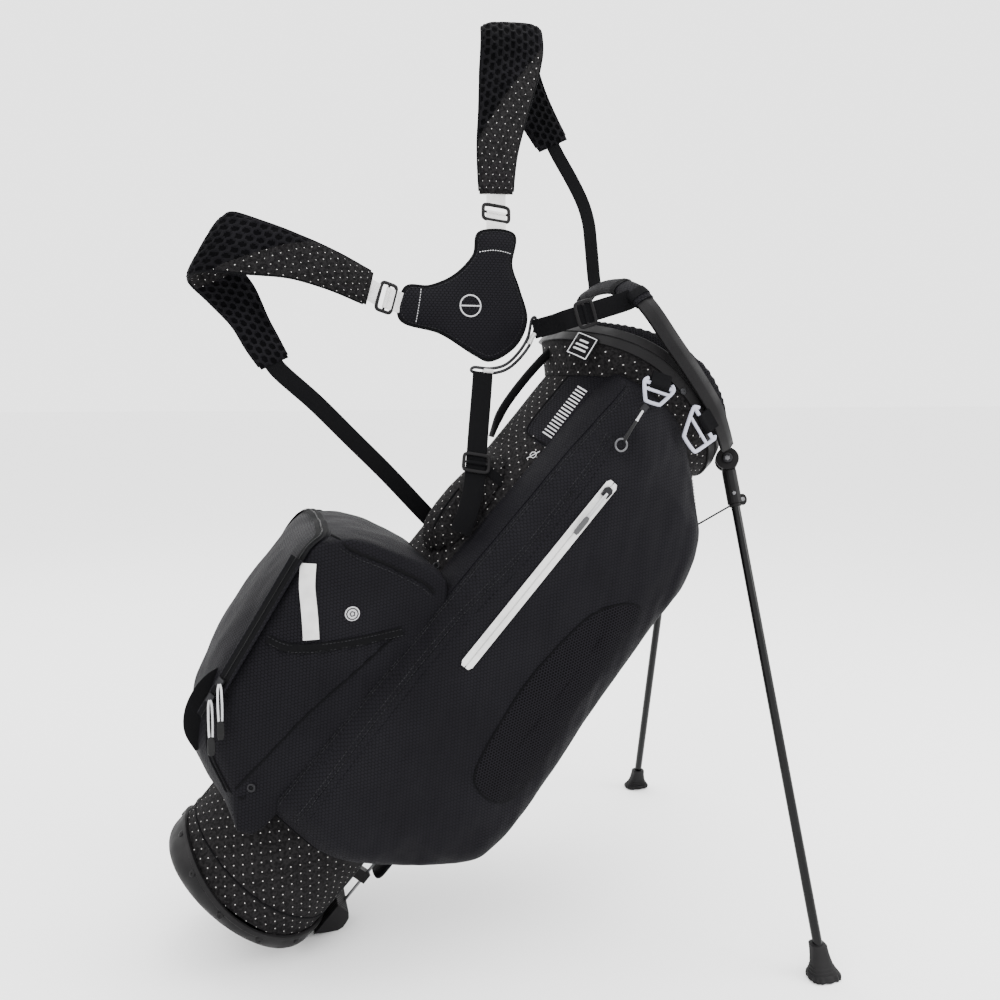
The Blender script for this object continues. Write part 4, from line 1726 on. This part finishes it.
def build_bail():
    """Bent wire bow under the yoke, with two pale sleeves."""
    plane = -0.030
    arc = ((0.2210, 0.7235), (0.2440, 0.7215), (0.2660, 0.7270), (0.2850, 0.7430), (0.2990, 0.7640),
           (0.3040, 0.7900), (0.2985, 0.7890), (0.2935, 0.7670), (0.2810, 0.7475), (0.2640, 0.7325),
           (0.2440, 0.7275), (0.2230, 0.7290))
    ring = curve_through([STAND @ Vector((x, plane, z)) for x, z in arc], 0.0015, cyclic=True)
    bar("bail_ring", ring, oval(0.0020, 0.0020, 2, 10), NEAR_OUT, "dark_steel", slot="steel",
        replaces=["harness_bail"], cyclic=True)
    for tag, p, q in (("left", (0.2350, 0.7250), (0.2470, 0.7240)),
                      ("right", (0.2945, 0.7590), (0.3020, 0.7720))):
        a, b = (STAND @ Vector((x, plane, z)) for x, z in (p, q))
        bar(f"bail_sleeve_{tag}", [a.lerp(b, t) for t in np.linspace(0, 1, 5)], oval(0.0028, 0.0055, 2.4, 16),
            NEAR_OUT, "white_trim")


def dress_cad():
    """Materials and softened edges for the solids that show as they are."""
    slots = {row["node"]: row["material_slot"] for row in frame["record"]["subparts"]}
    special = dict.fromkeys(("near_zip_slider", "ball_zip_slider_upper", "ball_zip_slider_lower",
                             "fob_slider",
                             "near_wire", "far_wire"), "dark_steel")
    special |= dict.fromkeys(("near_leg_tube", "far_leg_tube"), "black_tube")
    edges = {"near_leg_housing": 0.0012, "far_leg_housing": 0.0012, "near_leg_socket": 0.0008,
             "far_leg_socket": 0.0008, "actuator_yoke": 0.0012, "rod_guide_lower": 0.0010,
             "rod_guide_upper": 0.0010, "near_zip_slider": 0.0007, "ball_zip_slider_upper": 0.0008,
             "ball_zip_slider_lower": 0.0008, "fob_slider": 0.0008}
    for name, obj in NODES.items():
        if obj.hide_render:
            continue
        plain = "dark_plastic" if slots[name] == "black_tube" else slots[name]
        obj.data.materials.clear()
        obj.data.materials.append(MATS[special.get(name, plain)])
        if name in edges:
            bevel = obj.modifiers.new("soft_edges", "BEVEL")
            bevel.width, bevel.segments = edges[name], 3
            bevel.limit_method, bevel.angle_limit = "ANGLE", math.radians(40)
            bevel.harden_normals = True


build_stage()
TUBE = build_tube()
build_base()
build_dividers()
build_collar()
build_skirt()
build_cuff()
build_raised_handle()
build_lift_handle()
NEAR_POCKET = build_side_pocket(-1, "near_pocket_cloth", "side_pocket_near")
FAR_POCKET = build_side_pocket(1, "far_pocket_cloth", "side_pocket_far")
build_pocket_trims(NEAR_POCKET, -1, "near")
build_pocket_trims(FAR_POCKET, 1, "far")
BALL = build_ball_pocket()
BALL_SURFACE = Surface(BALL)
build_ball_zip(BALL_SURFACE)
build_ball_pulls()
build_ball_trims(BALL_SURFACE)
build_bottle_pocket()
build_near_zip()
build_fob()
build_clip_rings()
build_tube_trims(Surface(TUBE))
build_label()
build_hip_pad(NEAR_POCKET)
build_rod_sleeve()
build_roller()
build_legs()
build_shoulder_pad("pad_left_cloth", "shoulder_pad_left", LEFT_PAD, 0.245, (0.075, 0.175), 1)
build_shoulder_pad("pad_right_cloth", "shoulder_pad_right", RIGHT_PAD, 0.235, (0.060, 0.190), -1)
build_yoke()
build_straps()
build_bail()
dress_cad()
